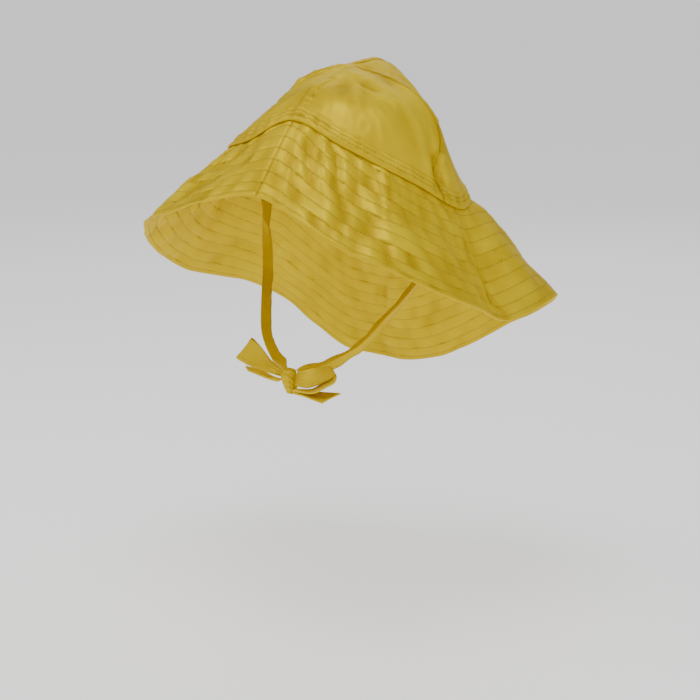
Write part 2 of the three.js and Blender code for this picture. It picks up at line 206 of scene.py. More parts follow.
class Ripple:
    """Smooth noise made of sine waves, the same at each run."""

    def __init__(self, seed: int, wavelength: float, waves: int = 14) -> None:
        """Chooses the waves.

        Args:
            seed: Seed of the choice.
            wavelength: Middle wavelength, in the units of the points.
            waves: How many waves are added.
        """
        rng = np.random.default_rng(seed)
        turns = unit(rng.normal(size=(waves, 3)))
        self.vectors = turns * (2 * np.pi / wavelength * rng.uniform(0.6, 1.5, (waves, 1)))
        self.phases = rng.uniform(0, 2 * np.pi, waves)

    def __call__(self, points: Array) -> Array:
        """Noise of about -1 to 1 at points of two or three coordinates.

        Args:
            points: The points.

        Returns:
            One value for each point.
        """
        total = 0.0
        for vector, phase in zip(self.vectors, self.phases):
            total = total + np.sin(points @ vector[: points.shape[-1]] + phase)
        return total / math.sqrt(len(self.phases) / 1.2)


@dataclass
class HatForm:
    """Smooth form of crown and brim, before seams, stitching and creases."""

    apex: tuple[float, float, float] = (-5, 8, 98)
    brim_sag: float = 0.5
    side_seam: tuple[float, float, float] = (78.5, 0.14, 0.4)

    def ring(self, station: Station, bearing: Array) -> Array:
        """Points of one station's ring at bearings.

        Args:
            station: The ring.
            bearing: Bearings.

        Returns:
            Points in millimetres.
        """
        table = np.array([row[station.value] for row in PROFILES.values()], float)
        place = np.mod(bearing, 360) * len(table) / 360
        first = np.floor(place).astype(int)
        near = [table[(first + k) % len(table)] for k in (-1, 0, 1, 2)]
        size = spline(near, (place - first)[..., None])
        turn = np.radians(bearing)
        return np.stack([size[..., 0] * np.sin(turn), -size[..., 0] * np.cos(turn), size[..., 1]], -1)

    def seam_bearing(self, side: float, share: Array) -> Array:
        """Bearing of a crown seam at shares of the way up; side is 0, 90, 180, 270 or 360."""
        lean = (90 - self.side_seam[0]) * (1 - smoothstep(share, *self.side_seam[1:]))
        return side + lean * {90: -1, 270: 1}.get(side, 0)

    def crown(self, bearing: Array, share: Array) -> Array:
        """Points of the crown; share is 0 at the seam and 1 at the apex.

        Args:
            bearing: Bearings.
            share: Shares of the way, 0 at the seam.

        Returns:
            Points in millimetres.
        """
        rings = [self.ring(s, bearing) for s in (Station.SEAM, Station.WAIST, Station.SHOULDER, Station.ROOF)]
        rings.append(np.broadcast_to(np.array(self.apex, float), rings[0].shape))
        line = np.stack([2 * rings[0] - rings[1], *rings, 2 * rings[-1] - rings[-2]])
        place = np.clip(share * 4, 0, 4 - 1e-6)
        first = np.floor(place).astype(int)
        near = [np.take_along_axis(line, (first + k)[None, ..., None], 0)[0] for k in range(4)]
        push = 0.0
        for dent in CROWN_DENTS:
            along = swell(share, dent.low, dent.high)
            push = push + dent.depth * bump(bearing - dent.bearing, dent.spread) * along
        return spline(near, (place - first)[..., None]) + outward(bearing, 0.4) * push[..., None]

    def brim(self, bearing: Array, share: Array) -> Array:
        """Points of the brim; share is 0 at the seam and 1 at the edge.

        Args:
            bearing: Bearings.
            share: Shares of the way, 0 at the seam.

        Returns:
            Points in millimetres.
        """
        seam, edge = self.ring(Station.SEAM, bearing), self.ring(Station.EDGE, bearing)
        push = -self.brim_sag * np.sin(np.pi * share)
        for fold in BRIM_FOLDS:
            middle = fold.at_seam + (fold.at_edge - fold.at_seam) * share
            along = swell(share, fold.start, fold.stop)
            push = push + fold.depth * bump(bearing - middle, fold.spread) * along
        return seam + (edge - seam) * share[..., None] + outward(bearing, 0.7) * push[..., None]

    def crown_normal(self, bearing: Array, share: Array) -> Array:
        """Outward directions of the crown's surface.

        Args:
            bearing: Bearings.
            share: Shares of the way, 0 at the seam.

        Returns:
            Directions of length one.
        """
        along = self.crown(bearing + 1, share) - self.crown(bearing - 1, share)
        across = self.crown(bearing, share + 0.012) - self.crown(bearing, share - 0.012)
        normal = unit(np.cross(along, across))
        near_apex = smoothstep(share, 0.7, 0.92)[..., None]
        return unit(normal * (1 - near_apex) + np.array([0, 0, 1.0]) * near_apex)

    def brim_normal(self, bearing: Array, share: Array) -> Array:
        """Outward directions of the brim's surface.

        Args:
            bearing: Bearings.
            share: Shares of the way, 0 at the seam.

        Returns:
            Directions of length one.
        """
        along = self.brim(bearing + 1, share) - self.brim(bearing - 1, share)
        across = self.brim(bearing, share - 0.012) - self.brim(bearing, share + 0.012)
        return unit(np.cross(along, across))

    def spacing(self, bearing: Array, share: Array) -> Array:
        """Millimetres round the crown for each degree of bearing."""
        step = self.crown(bearing + 0.5, share) - self.crown(bearing - 0.5, share)
        return np.linalg.norm(step, axis=-1)

    def waist_reach(self, bearing: Array) -> Array:
        """Length of the crown's lowest quarter at bearings."""
        return np.linalg.norm(self.ring(Station.SEAM, bearing) - self.ring(Station.WAIST, bearing), axis=-1)

    def brim_reach(self, bearing: Array) -> Array:
        """Length of the brim from seam to edge at bearings."""
        return np.linalg.norm(self.ring(Station.SEAM, bearing) - self.ring(Station.EDGE, bearing), axis=-1)


# ---- creases


@dataclass(frozen=True)
class Crease:
    """Pressed line in the cloth: a valley where depth is below nought, a ridge above.

    The path is a row of (bearing, share) places on the surface that it lies in.
    """

    path: tuple[tuple[float, float], ...]
    depth: float
    width: float
    sharp: bool = False

    def relief(self, points: Array, surface: Callable[[Array, Array], Array]) -> Array:
        """Height that the crease adds at points of its surface.

        Args:
            points: Points on the smooth surface.
            surface: The surface, from bearings and shares.

        Returns:
            Heights in millimetres.
        """
        places = np.array(self.path, float)
        steps = np.linspace(0, len(places) - 1, 4 * len(places))
        bearings = np.interp(steps, range(len(places)), places[:, 0])
        shares = np.interp(steps, range(len(places)), places[:, 1])
        line = surface(bearings, shares)
        best = np.full(points.shape[:-1], 1e9)
        place = np.zeros(points.shape[:-1])
        for k in range(len(line) - 1):
            step = line[k + 1] - line[k]
            t = np.clip((points - line[k]) @ step / (step @ step), 0, 1)
            gap = np.linalg.norm(points - line[k] - t[..., None] * step, axis=-1)
            place = np.where(gap < best, (k + t) / (len(line) - 1), place)
            best = np.minimum(best, gap)
        shape = np.exp(-best / self.width) if self.sharp else np.exp(-((best / self.width) ** 2))
        return self.depth * shape * np.sin(np.pi * np.clip(place, 0.02, 0.98)) ** 0.6


# ---- meshes


def grid_faces(rows: int, columns: int, start: int = 0) -> Array:
    """Quads of a grid of points, as rows of four indices.

    Args:
        rows: Rows of the grid.
        columns: Columns of the grid.
        start: Index of its first point.

    Returns:
        One row of corner indices for each quad.
    """
    r, c = np.meshgrid(np.arange(rows - 1), np.arange(columns - 1), indexing="ij")
    a = start + r * columns + c
    return np.stack([a, a + 1, a + columns + 1, a + columns], -1).reshape(-1, 4)


def make_object(name: str, points: Array, faces: Sequence[Sequence[int]]) -> bpy.types.Object:
    """Object at the origin from points in millimetres.

    Args:
        name: The object's name.
        points: Rows of three coordinates.
        faces: Corner indices of each face.

    Returns:
        The new object, linked and smooth.
    """
    mesh = bpy.data.meshes.new(name)
    mesh.from_pydata((points * MM).tolist(), [], [list(map(int, f)) for f in faces])
    mesh.update()
    mesh.shade_smooth()
    mesh.set_sharp_from_angle(angle=math.radians(55))
    made = bpy.data.objects.new(name, mesh)
    bpy.context.collection.objects.link(made)
    return made


def store(made: bpy.types.Object, name: str, values: Array) -> None:
    """Keeps one number for each vertex as an attribute that materials can read."""
    layer = made.data.attributes.new(name, "FLOAT", "POINT")
    layer.data.foreach_set("value", values.astype(np.float32).ravel())


def store_uv(made: bpy.types.Object, places: Array) -> None:
    """Gives a mesh a UV map from one (u, v) for each vertex.

    Args:
        made: The mesh object.
        places: The vertices' places in the map.
    """
    layer = made.data.uv_layers.new(name="cloth")
    corners = np.empty(len(made.data.loops), np.int32)
    made.data.loops.foreach_get("vertex_index", corners)
    layer.data.foreach_set("uv", places[corners].astype(np.float32).ravel())


@dataclass
class Wall:
    """Closed cloth wall: an outer and an inner grid, joined round a turned lower edge."""

    outer: Array
    inner: Array
    places: Array
    outer_relief: Array
    inner_relief: Array
    turns: int = 4

    def build(self, name: str) -> bpy.types.Object:
        """Makes the wall's object; row 0 of each grid is the turned edge.

        Args:
            name: The object's name.

        Returns:
            The new object.
        """
        rows, columns = self.outer.shape[:2]
        middle = (self.outer[0] + self.inner[0]) / 2
        half = (self.outer[0] - self.inner[0]) / 2
        outwards = unit(self.outer[0] - self.outer[2]) * np.linalg.norm(half, axis=-1, keepdims=True)
        arcs = []
        for k in range(1, self.turns + 1):
            turn = np.pi * k / (self.turns + 1)
            arcs.append(middle + half * math.cos(turn) + outwards * math.sin(turn))
        loop = [self.outer[::-1], np.array(arcs), self.inner]
        points = np.concatenate([part.reshape(-1, 3) for part in loop])
        total = 2 * rows + self.turns
        faces = [*grid_faces(total, columns)[:, ::-1]]
        last = (total - 1) * columns
        faces += [(c, c + 1, last + c + 1, last + c) for c in range(columns - 1)]
        for r in range(rows - 1):
            a, b = r * columns, (r + 1) * columns
            c, d = (total - 1 - r) * columns, (total - 2 - r) * columns
            end = columns - 1
            faces.append((a, c, d, b))
            faces.append((a + end, b + end, d + end, c + end))
        fan = [r * columns for r in range(rows - 1, rows + self.turns + 1)]
        faces.append(fan[::-1])
        faces.append([v + columns - 1 for v in fan])
        made = make_object(name, points, faces)
        edge = np.repeat(self.places[:1], self.turns, 0)
        uv = np.concatenate([self.places[::-1], edge, self.places + np.array([INNER_SHIFT, 0])])
        store_uv(made, uv.reshape(-1, 2))
        still = np.zeros((self.turns, columns))
        store(made, "crumple", np.concatenate([self.outer_relief[::-1], still, self.inner_relief]))
        return made


class StitchTree:
    """Geometry Nodes tree that lays a stitch at each pitch along the edges of a mesh."""

    def __init__(self) -> None:
        """Builds the node tree."""
        self.tree = bpy.data.node_groups.new("stitch_row", "GeometryNodeTree")
        face = self.tree.interface
        face.new_socket("Geometry", in_out="INPUT", socket_type="NodeSocketGeometry")
        self.inputs = {}
        for name, kind, value in (
            ("Pitch", "NodeSocketFloat", 3.2 * MM),
            ("Length", "NodeSocketFloat", 2.3 * MM),
            ("Thickness", "NodeSocketFloat", 0.6 * MM),
            ("Seed", "NodeSocketInt", 7),
            ("Thread", "NodeSocketMaterial", None),
        ):
            socket = face.new_socket(name, in_out="INPUT", socket_type=kind)
            if value is not None:
                socket.default_value = value
            self.inputs[name] = socket.identifier
        face.new_socket("Geometry", in_out="OUTPUT", socket_type="NodeSocketGeometry")
        start = self.tree.nodes.new("NodeGroupInput").outputs
        curve = self.node("GeometryNodeMeshToCurve", {}, {"Mesh": start["Geometry"]})
        spaced = {"Curve": curve["Curve"], "Length": start["Pitch"]}
        points = self.node("GeometryNodeCurveToPoints", {"mode": "LENGTH"}, spaced)
        ball = self.node("GeometryNodeMeshUVSphere", {}, {"Segments": 6, "Rings": 4, "Radius": 0.5})
        across = start["Thickness"]
        size = self.node("ShaderNodeCombineXYZ", {}, {0: start["Length"], 1: across, 2: across})
        stitch = self.node("GeometryNodeTransform", {}, {"Geometry": ball["Mesh"], "Scale": size[0]})
        turn = self.node("FunctionNodeAlignRotationToVector", {"axis": "X"}, {"Vector": points["Tangent"]})
        spread = {2: 0.85, 3: 1.12, "Seed": start["Seed"]}
        vary = self.node("FunctionNodeRandomValue", {"data_type": "FLOAT"}, spread)
        laid = {
            "Points": points["Points"],
            "Instance": stitch["Geometry"],
            "Rotation": turn["Rotation"],
            "Scale": vary[1],
        }
        placed = self.node("GeometryNodeInstanceOnPoints", {}, laid)
        real = self.node("GeometryNodeRealizeInstances", {}, {"Geometry": placed["Instances"]})
        smooth = self.node("GeometryNodeSetShadeSmooth", {}, {0: real["Geometry"]})
        last = {"Geometry": smooth[0], "Material": start["Thread"]}
        dressed = self.node("GeometryNodeSetMaterial", {}, last)
        self.node("NodeGroupOutput", {}, {0: dressed["Geometry"]})

    def node(self, kind: str, settings: dict, inputs: dict) -> bpy.types.NodeOutputs:
        """Adds a node.

        Args:
            kind: The node's type.
            settings: Properties that are set first.
            inputs: Values or links of its sockets, by name or place.

        Returns:
            The node's outputs.
        """
        made = self.tree.nodes.new(kind)
        for key, value in settings.items():
            setattr(made, key, value)
        for key, value in inputs.items():
            if isinstance(value, bpy.types.NodeSocket):
                self.tree.links.new(value, made.inputs[key])
            else:
                made.inputs[key].default_value = value
        return made.outputs

    def sew(
        self, name: str, rows: Sequence[Array], thread: bpy.types.Material, **sizes: float
    ) -> bpy.types.Object:
        """Turns rows of points into stitches.

        Args:
            name: Name of the object that is made.
            rows: One array of points in millimetres for each row.
            thread: Material of the thread.
            sizes: Pitch, Length and Thickness in millimetres, where they differ.

        Returns:
            One plain mesh object with all the stitches.
        """
        edges, start = [], 0
        for row in rows:
            edges += [(start + k, start + k + 1) for k in range(len(row) - 1)]
            start += len(row)
        guide_mesh = bpy.data.meshes.new(name + "_guide")
        guide_mesh.from_pydata((np.concatenate(rows) * MM).tolist(), edges, [])
        guide = bpy.data.objects.new(name + "_guide", guide_mesh)
        bpy.context.collection.objects.link(guide)
        sewing = guide.modifiers.new("stitches", "NODES")
        sewing.node_group = self.tree
        sewing[self.inputs["Thread"]] = thread
        for key, value in sizes.items():
            sewing[self.inputs[key]] = value * MM
        bpy.context.view_layer.update()
        graph = bpy.context.evaluated_depsgraph_get()
        mesh = bpy.data.meshes.new_from_object(guide.evaluated_get(graph))
        mesh.name = name
        bpy.data.objects.remove(guide)
        made = bpy.data.objects.new(name, mesh)
        bpy.context.collection.objects.link(made)
        mesh.materials.clear()
        mesh.materials.append(thread)
        return made


# ---- finishes


class Sock:
    """Output socket that can be used in arithmetic; each expression adds Math nodes."""

    def __init__(self, shader: Shader, socket: bpy.types.NodeSocket) -> None:
        """Wraps a socket of a shader's tree."""
        self.shader = shader
        self.socket = socket

    def __add__(self, other: Sock | float) -> Sock:
        """Sum."""
        return self.shader.math("ADD", self, other)

    def __radd__(self, other: float) -> Sock:
        """Sum."""
        return self.shader.math("ADD", other, self)

    def __sub__(self, other: Sock | float) -> Sock:
        """Difference."""
        return self.shader.math("SUBTRACT", self, other)

    def __rsub__(self, other: float) -> Sock:
        """Difference."""
        return self.shader.math("SUBTRACT", other, self)

    def __mul__(self, other: Sock | float) -> Sock:
        """Product."""
        return self.shader.math("MULTIPLY", self, other)

    def __rmul__(self, other: float) -> Sock:
        """Product."""
        return self.shader.math("MULTIPLY", other, self)

    def clamped(self) -> Sock:
        """The value held between 0 and 1."""
        return self.shader.math("MINIMUM", self.shader.math("MAXIMUM", self, 0.0), 1.0)


class Shader:
    """Node tree of one material."""

    def __init__(self, name: str) -> None:
        """Starts an empty material with its output node.

        Args:
            name: The material's name.
        """
        self.material = bpy.data.materials.new(name)
        self.material.use_nodes = True
        self.tree = self.material.node_tree
        self.tree.nodes.clear()
        self.output = self.tree.nodes.new("ShaderNodeOutputMaterial")

    def node(self, kind: str, settings: dict | None = None, inputs: dict | None = None) -> bpy.types.Node:
        """Adds a node.

        Args:
            kind: The node's type.
            settings: Properties, set first.
            inputs: Values or links of its sockets, by name or place.

        Returns:
            The new node.
        """
        made = self.tree.nodes.new(kind)
        for key, value in (settings or {}).items():
            setattr(made, key, value)
        for key, value in (inputs or {}).items():
            if isinstance(value, Sock):
                self.tree.links.new(value.socket, made.inputs[key])
            else:
                made.inputs[key].default_value = value
        return made

    def out(self, node: bpy.types.Node, key: str | int = 0) -> Sock:
        """One output of a node, ready for arithmetic."""
        return Sock(self, node.outputs[key])

    def math(self, operation: str, a: Sock | float, b: Sock | float) -> Sock:
        """Adds a Math node."""
        return self.out(self.node("ShaderNodeMath", {"operation": operation}, {0: a, 1: b}))

    def mix(self, factor: Sock | float, a: Sock | tuple, b: Sock | tuple, blend: str = "MIX") -> Sock:
        """Adds a Mix node for colours.

        Args:
            factor: 0 gives a and 1 gives b.
            a: First colour.
            b: Second colour.
            blend: How they are mixed.

        Returns:
            The mixed colour.
        """
        colours = [(*c, 1) if isinstance(c, tuple) and len(c) == 3 else c for c in (a, b)]
        settings = {"data_type": "RGBA", "blend_type": blend}
        return self.out(self.node("ShaderNodeMix", settings, {0: factor, 6: colours[0], 7: colours[1]}), 2)

    def noise(self, vector: Sock, scale: float, detail: float = 2, roughness: float = 0.5) -> Sock:
        """Adds a Noise Texture and gives its value.

        Args:
            vector: Where it is read.
            scale: Its scale.
            detail: Layers of finer noise.
            roughness: Strength of the finer layers.

        Returns:
            The noise.
        """
        sockets = {"Vector": vector, "Scale": scale, "Detail": detail, "Roughness": roughness}
        return self.out(self.node("ShaderNodeTexNoise", {}, sockets), 0)

    def bump(self, height: Sock, strength: float, distance: float, under: Sock | None = None) -> Sock:
        """Adds a Bump node.

        Args:
            height: Height of the relief.
            strength: Its strength.
            distance: Its depth in metres.
            under: The normal that it starts from.

        Returns:
            The bent normal.
        """
        inputs = {"Height": height, "Strength": strength, "Distance": distance}
        if under is not None:
            inputs["Normal"] = under
        return self.out(self.node("ShaderNodeBump", {}, inputs))

    def surface(self, sockets: dict) -> bpy.types.Material:
        """Ends the tree in a Principled BSDF with these sockets.

        Args:
            sockets: Values or links by socket name.

        Returns:
            The finished material.
        """
        made = self.node("ShaderNodeBsdfPrincipled", {}, sockets)
        self.tree.links.new(made.outputs[0], self.output.inputs[0])
        return self.material


@dataclass(frozen=True)
class CoatedCloth:
    """Coated rainwear cloth: satin gloss, fine weave under the coat, paler on ridges from wear and painted
    highlight, with painted shade in its grooves and along the sewn rows.
    """

    name: str
    body: tuple[float, float, float] = (0.66, 0.465, 0.0)
    # deep: darker yellow for the random tone, and also the painted shade in grooves, creases and seams
    deep: tuple[float, float, float] = (0.40, 0.26, 0.0)
    # paler yellow on ridges of the relief: wear and painted highlight
    wear_and_highlight: tuple[float, float, float] = (0.76, 0.60, 0.0)
    roughness: float = 0.40
    gloss_tint: tuple[float, float, float] = (1.0, 0.82, 0.08)
    crumple_height: float = 0.0009
    # sewn: painted shade, thin dark lines laid along the sewn rows
    sewn: tuple[float, float, float] = (0.21, 0.12, 0.0)
    sewn_rows: tuple[float, ...] = ()
    sewn_shade_width: float = 0.55
    metallic: float = 0.26
    specular: float = 0.05

    def material(self) -> bpy.types.Material:
        """Builds the material's node tree.

        Returns:
            The material.
        """
        s = Shader(self.name)
        place = s.out(s.node("ShaderNodeTexCoord"), "Object")
        weave_place = s.out(s.node("ShaderNodeTexCoord"), "UV")
        crumple = s.out(s.node("ShaderNodeAttribute", {"attribute_name": "crumple"}), "Fac")
        broad = s.noise(place, 16, 3)
        cloudy = s.noise(place, 55, 3, 0.6)
        small = s.noise(place, 210, 4, 0.6)
        pebble = s.noise(place, 1500, 2)
        weave = {"Vector": weave_place, "Scale": 60}
        warp = s.out(s.node("ShaderNodeTexWave", {"bands_direction": "X"}, weave), 1)
        weft = s.out(s.node("ShaderNodeTexWave", {"bands_direction": "Y"}, weave), 1)
        tint = (broad * 0.7 + cloudy * 0.6 - 0.25).clamped()
        colour = s.mix(tint * 0.5, self.body, self.deep)
        # painted shade: where the relief dips (grooves, creases, seams, stitch rows) the colour goes towards
        # deep
        groove = (crumple * -1.0).clamped()
        ridge = crumple.clamped()
        colour = s.mix(groove * 0.75, colour, self.deep)
        # ridges of the relief go paler: wear and painted highlight
        colour = s.mix(ridge * 0.45 * (small * 0.6 + 0.6), colour, self.wear_and_highlight)
        # painted shade: thin dark lines along the sewn rows of hem and quilting
        if self.sewn_rows:
            parts = s.node("ShaderNodeSeparateXYZ", {}, {"Vector": weave_place})
            reach = s.math("ABSOLUTE", s.out(parts, "Y") * 100.0, 0.0)
            line = s.math("ABSOLUTE", reach - self.sewn_rows[0], 0.0)
            for row in self.sewn_rows[1:]:
                line = s.math("MINIMUM", line, s.math("ABSOLUTE", reach - row, 0.0))
            line = (1.0 - line * (1 / self.sewn_shade_width)).clamped()
            colour = s.mix(line * (small * 0.55 + 0.3), colour, self.sewn)
        gloss = cloudy * 0.16 + groove * 0.12 + (self.roughness - 0.07)
        normal = s.bump(cloudy * 0.7 + small * 0.3, 0.5, self.crumple_height)
        normal = s.bump(warp * 0.5 + weft * 0.5 + pebble * 0.5, 0.10, 0.00012, normal)
        return s.surface(
            {
                "Base Color": colour,
                "Roughness": gloss,
                "Normal": normal,
                "Specular Tint": (*self.gloss_tint, 1),
                "Metallic": self.metallic,
                "Specular IOR Level": self.specular,
                "IOR": 1.5,
            }
        )


@dataclass(frozen=True)
class SewingThread:
    """Spun thread of the stitches."""

    name: str
    colour: tuple[float, float, float] = (0.42, 0.27, 0.012)
    pale: tuple[float, float, float] = (0.62, 0.44, 0.03)

    def material(self) -> bpy.types.Material:
        """Builds the material's node tree.

        Returns:
            The material.
        """
        s = Shader(self.name)
        place = s.out(s.node("ShaderNodeTexCoord"), "Object")
        strands = s.noise(place, 900, 2)
        normal = s.bump(strands, 0.4, 0.0001)
        colour = s.mix(strands, self.colour, self.pale)
        return s.surface({"Base Color": colour, "Roughness": 0.6, "Normal": normal})


@dataclass(frozen=True)
class StudioFloor:
    """Plain pale floor."""

    name: str
    colour: tuple[float, float, float] = (0.93, 0.93, 0.93)
    shade: tuple[float, float, float] = (0.90, 0.90, 0.90)
    glow: float = 0.52

    def material(self) -> bpy.types.Material:
        """Builds the material's node tree.

        Returns:
            The material.
        """
        s = Shader(self.name)
        place = s.out(s.node("ShaderNodeTexCoord"), "Object")
        soft = s.noise(place, 3, 2)
        colour = s.mix(soft * 0.04, self.colour, self.shade)
        glow = {"Emission Color": (1, 1, 1, 1), "Emission Strength": self.glow}
        return s.surface({"Base Color": colour, "Roughness": 0.8, **glow})


def place_piece(
    made: bpy.types.Object, material: bpy.types.Material, nodes: Sequence[str] = ()
) -> None:
    """Dresses a piece and ties it to the part.

    Args:
        made: The piece.
        material: Its material.
        nodes: CAD nodes that the piece replaces.
    """
    made.data.materials.clear()
    made.data.materials.append(material)
    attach(made, "root")
    if nodes:
        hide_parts(*nodes)
    LOG.info("%s: %d faces", made.name, len(made.data.polygons))


# ---- crown


@dataclass
class Crown:
    """Four panels with flat-felled seams and a turned hem that laps over the brim."""

    form: HatForm
    gap: float = 0.35
    wall: float = 1.5
    hem: float = 12
    hem_rows: tuple[float, float] = (4.6, 8.4)
    fell: float = 8
    fell_rows: tuple[float, float] = (1.6, 6.4)
    columns: int = 110
    rows: int = 110
    upper_span: float = 115
    fell_lift: float = 0.95
    hem_lift: float = 0.6
    panels: tuple[tuple[str, float, float], ...] = (
        ("crown_front_left", 0, 90),
        ("crown_back_left", 90, 180),
        ("crown_back_right", 180, 270),
        ("crown_front_right", 270, 360),
    )
    creases: tuple[Crease, ...] = (
        Crease(((86, 0.32), (81, 0.25), (78, 0.17), (77, 0.09), (78, 0.02)), -3.2, 2.6, True),
        Crease(((73, 0.40), (72, 0.28), (72, 0.15), (73, 0.05)), 1.4, 4.0),
        Crease(((84, 0.36), (85, 0.22), (85, 0.08)), 1.8, 3.5),
        Crease(((38, 0.84), (38, 0.64), (37, 0.49)), 1.6, 4.5),
        Crease(((60, 0.84), (61, 0.78), (60, 0.61), (64, 0.50)), 1.2, 3.5),
        Crease(((72, 0.80), (68, 0.66), (70, 0.50), (74, 0.38)), 1.3, 4.0),
        Crease(((22, 0.90), (40, 0.80), (58, 0.74)), 0.9, 2.4),
        Crease(((30, 0.78), (46, 0.69), (62, 0.64)), -0.8, 2.2),
        Crease(((40, 0.68), (56, 0.58), (68, 0.55)), 0.9, 2.6),
        Crease(((12, 0.86), (16, 0.74), (18, 0.62)), 1.0, 3.0),
        Crease(((20, 0.12), (30, 0.10), (38, 0.16)), 1.0, 4.0),
        Crease(((46, 0.12), (52, 0.08), (60, 0.12)), 1.0, 4.0),
        Crease(((300, 0.70), (312, 0.62), (330, 0.66)), 1.4, 5.0),
        Crease(((330, 0.30), (340, 0.40), (350, 0.58)), -1.2, 3.5),
        Crease(((120, 0.86), (128, 0.66), (125, 0.44)), 1.5, 5.0),
        Crease(((100, 0.50), (97, 0.30), (99, 0.10)), -1.6, 3.0),
        Crease(((160, 0.70), (152, 0.46), (158, 0.20)), 1.6, 5.0),
        Crease(((205, 0.74), (214, 0.46), (206, 0.16)), 1.8, 5.0),
        Crease(((238, 0.66), (232, 0.40), (240, 0.14)), -1.6, 4.5),
        Crease(((258, 0.60), (262, 0.36), (256, 0.12)), 1.5, 4.5),
    )
    drape: Ripple = field(default_factory=lambda: Ripple(11, 46))
    crumple: Ripple = field(default_factory=lambda: Ripple(12, 17))
    gather: Ripple = field(default_factory=lambda: Ripple(13, 8))

    def height(self, bearing: Array, share: Array) -> Array:
        """Millimetres above the seam along the cloth."""
        low = share * 4 * self.form.waist_reach(bearing)
        return np.where(share < 0.25, low, self.form.waist_reach(bearing) + (share - 0.25) * self.upper_span)

    def share_at(self, bearing: Array, height: float) -> Array:
        """Share of the way up that lies at a height above the seam."""
        reach = self.form.waist_reach(bearing)
        return np.where(height < reach, height / reach / 4, 0.25 + (height - reach) / self.upper_span)

    def relief(self, bearing: Array, share: Array, start: float, end: float, side: Side) -> Array:
        """Height of the cloth over the smooth form on one panel.

        Args:
            bearing: Bearings.
            share: Shares of the way up.
            start: Bearing of the seam whose felled band this panel carries.
            end: Bearing of the panel's other seam.
            side: Face of the wall.

        Returns:
            Heights in millimetres.
        """
        base = self.form.crown(bearing, share)
        spacing = self.form.spacing(bearing, share)
        from_seam = (bearing - self.form.seam_bearing(start, share)) * spacing
        to_seam = (self.form.seam_bearing(end, share) - bearing) * spacing
        up = self.height(bearing, share)
        total = self.drape(base) * 0.7 * smoothstep(up, 6, 40)
        total = total + (0.5 - np.abs(self.crumple(base))) * 0.2 * smoothstep(up, 2, 16)
        for crease in self.creases:
            total = total + crease.relief(base, self.form.crown)
        if side is Side.INNER:
            return total
        band = self.felled(from_seam, share)
        top = 1 - smoothstep(share, 0.9, 0.97)
        depth = 0.8 if start in (0, 180) else 0.8 - 0.45 * smoothstep(share, 0.3, 0.5)
        total = total - depth * (np.exp(-((to_seam / 1.1) ** 2)) + np.exp(-((from_seam / 1.1) ** 2))) * top
        # shallow dips beside the felled band's edge and above the hem; through the crumple attribute they
        # also paint a shade line there
        total = total - 0.3 * np.exp(-(((from_seam - self.fell - 0.6) / 0.7) ** 2)) * top
        total = total - 0.25 * np.exp(-(((up - self.hem - 0.6) / 0.7) ** 2))
        around = np.stack([np.radians(bearing) * 92, up * 0.35], -1)
        beside = np.stack([up, np.full_like(up, start * 3.1)], -1)
        for row in self.hem_rows:
            total = total - 0.5 * np.exp(-(((up - row) / 0.75) ** 2))
            total = total + 0.35 * self.gather(around) * np.exp(-np.abs(up - row) / 4)
        for row in self.fell_rows:
            total = total - 0.55 * np.exp(-(((from_seam - row) / 0.8) ** 2)) * band
            total = total + 0.45 * self.gather(beside) * np.exp(-np.abs(from_seam - row) / 4) * top
        return total

    def felled(self, from_seam: Array, share: Array) -> Array:
        """1 on the felled band beside a seam and 0 off it."""
        band = 1 - smoothstep(from_seam, self.fell - 0.9, self.fell + 0.2)
        return band * (1 - smoothstep(share, 0.93, 0.99))

    def surface(
        self, bearing: Array, share: Array, start: float, end: float, side: Side
    ) -> tuple[Array, Array]:
        """Points of one face of a panel, and the relief there.

        Args:
            bearing: Bearings.
            share: Shares of the way up.
            start: Bearing of the seam with the felled band.
            end: Bearing of the panel's other seam.
            side: Face of the wall.

        Returns:
            Points in millimetres, and heights of the relief.
        """
        lift = self.relief(bearing, share, start, end, side)
        base = self.gap + (self.wall if side is Side.OUTER else 0)
        if side is Side.OUTER:
            from_seam = (bearing - self.form.seam_bearing(start, share)) * self.form.spacing(bearing, share)
            up = self.height(bearing, share)
            base = base + self.fell_lift * self.felled(from_seam, share)
            base = base + self.hem_lift * (1 - smoothstep(up, self.hem - 0.8, self.hem + 0.4))
        if side is Side.INNER:
            base = base + 0.25 * smoothstep(share, 0.1, 0.2)
        offset = base + lift * smoothstep(share, -0.01, 0.06) if side is Side.INNER else base + lift
        point = self.form.crown(bearing, share) + self.form.crown_normal(bearing, share) * offset[..., None]
        return point, lift

    def build_panel(self, name: str, start: float, end: float, cloth: bpy.types.Material) -> None:
        """Makes one panel's wall and ties it to its CAD node.

        Args:
            name: The CAD node.
            start: Bearing of the panel's first seam.
            end: Bearing of its second seam.
            cloth: Material of the cloth.
        """
        overlap = 0.12
        across = np.linspace(0, 1, self.columns)
        steps = np.linspace(0, 1, self.rows)[:, None]
        low = self.share_at(np.linspace(start, end, self.columns), 14)
        shares = np.where(steps < 0.2, steps / 0.2 * low, low + (steps - 0.2) / 0.8 * (0.998 - low))
        first = self.form.seam_bearing(start, shares) - overlap
        bearing = first + (self.form.seam_bearing(end, shares) + overlap - first) * across
        outer, outer_relief = self.surface(bearing, shares, start, end, Side.OUTER)
        inner, inner_relief = self.surface(bearing, shares, start, end, Side.INNER)
        uv = np.stack([np.radians(bearing) * 0.9, self.height(bearing, shares) / 100], -1)
        wall = Wall(outer, inner, uv, outer_relief / 1.2, inner_relief / 1.6)
        place_piece(wall.build(name + "_cloth"), cloth, [name])

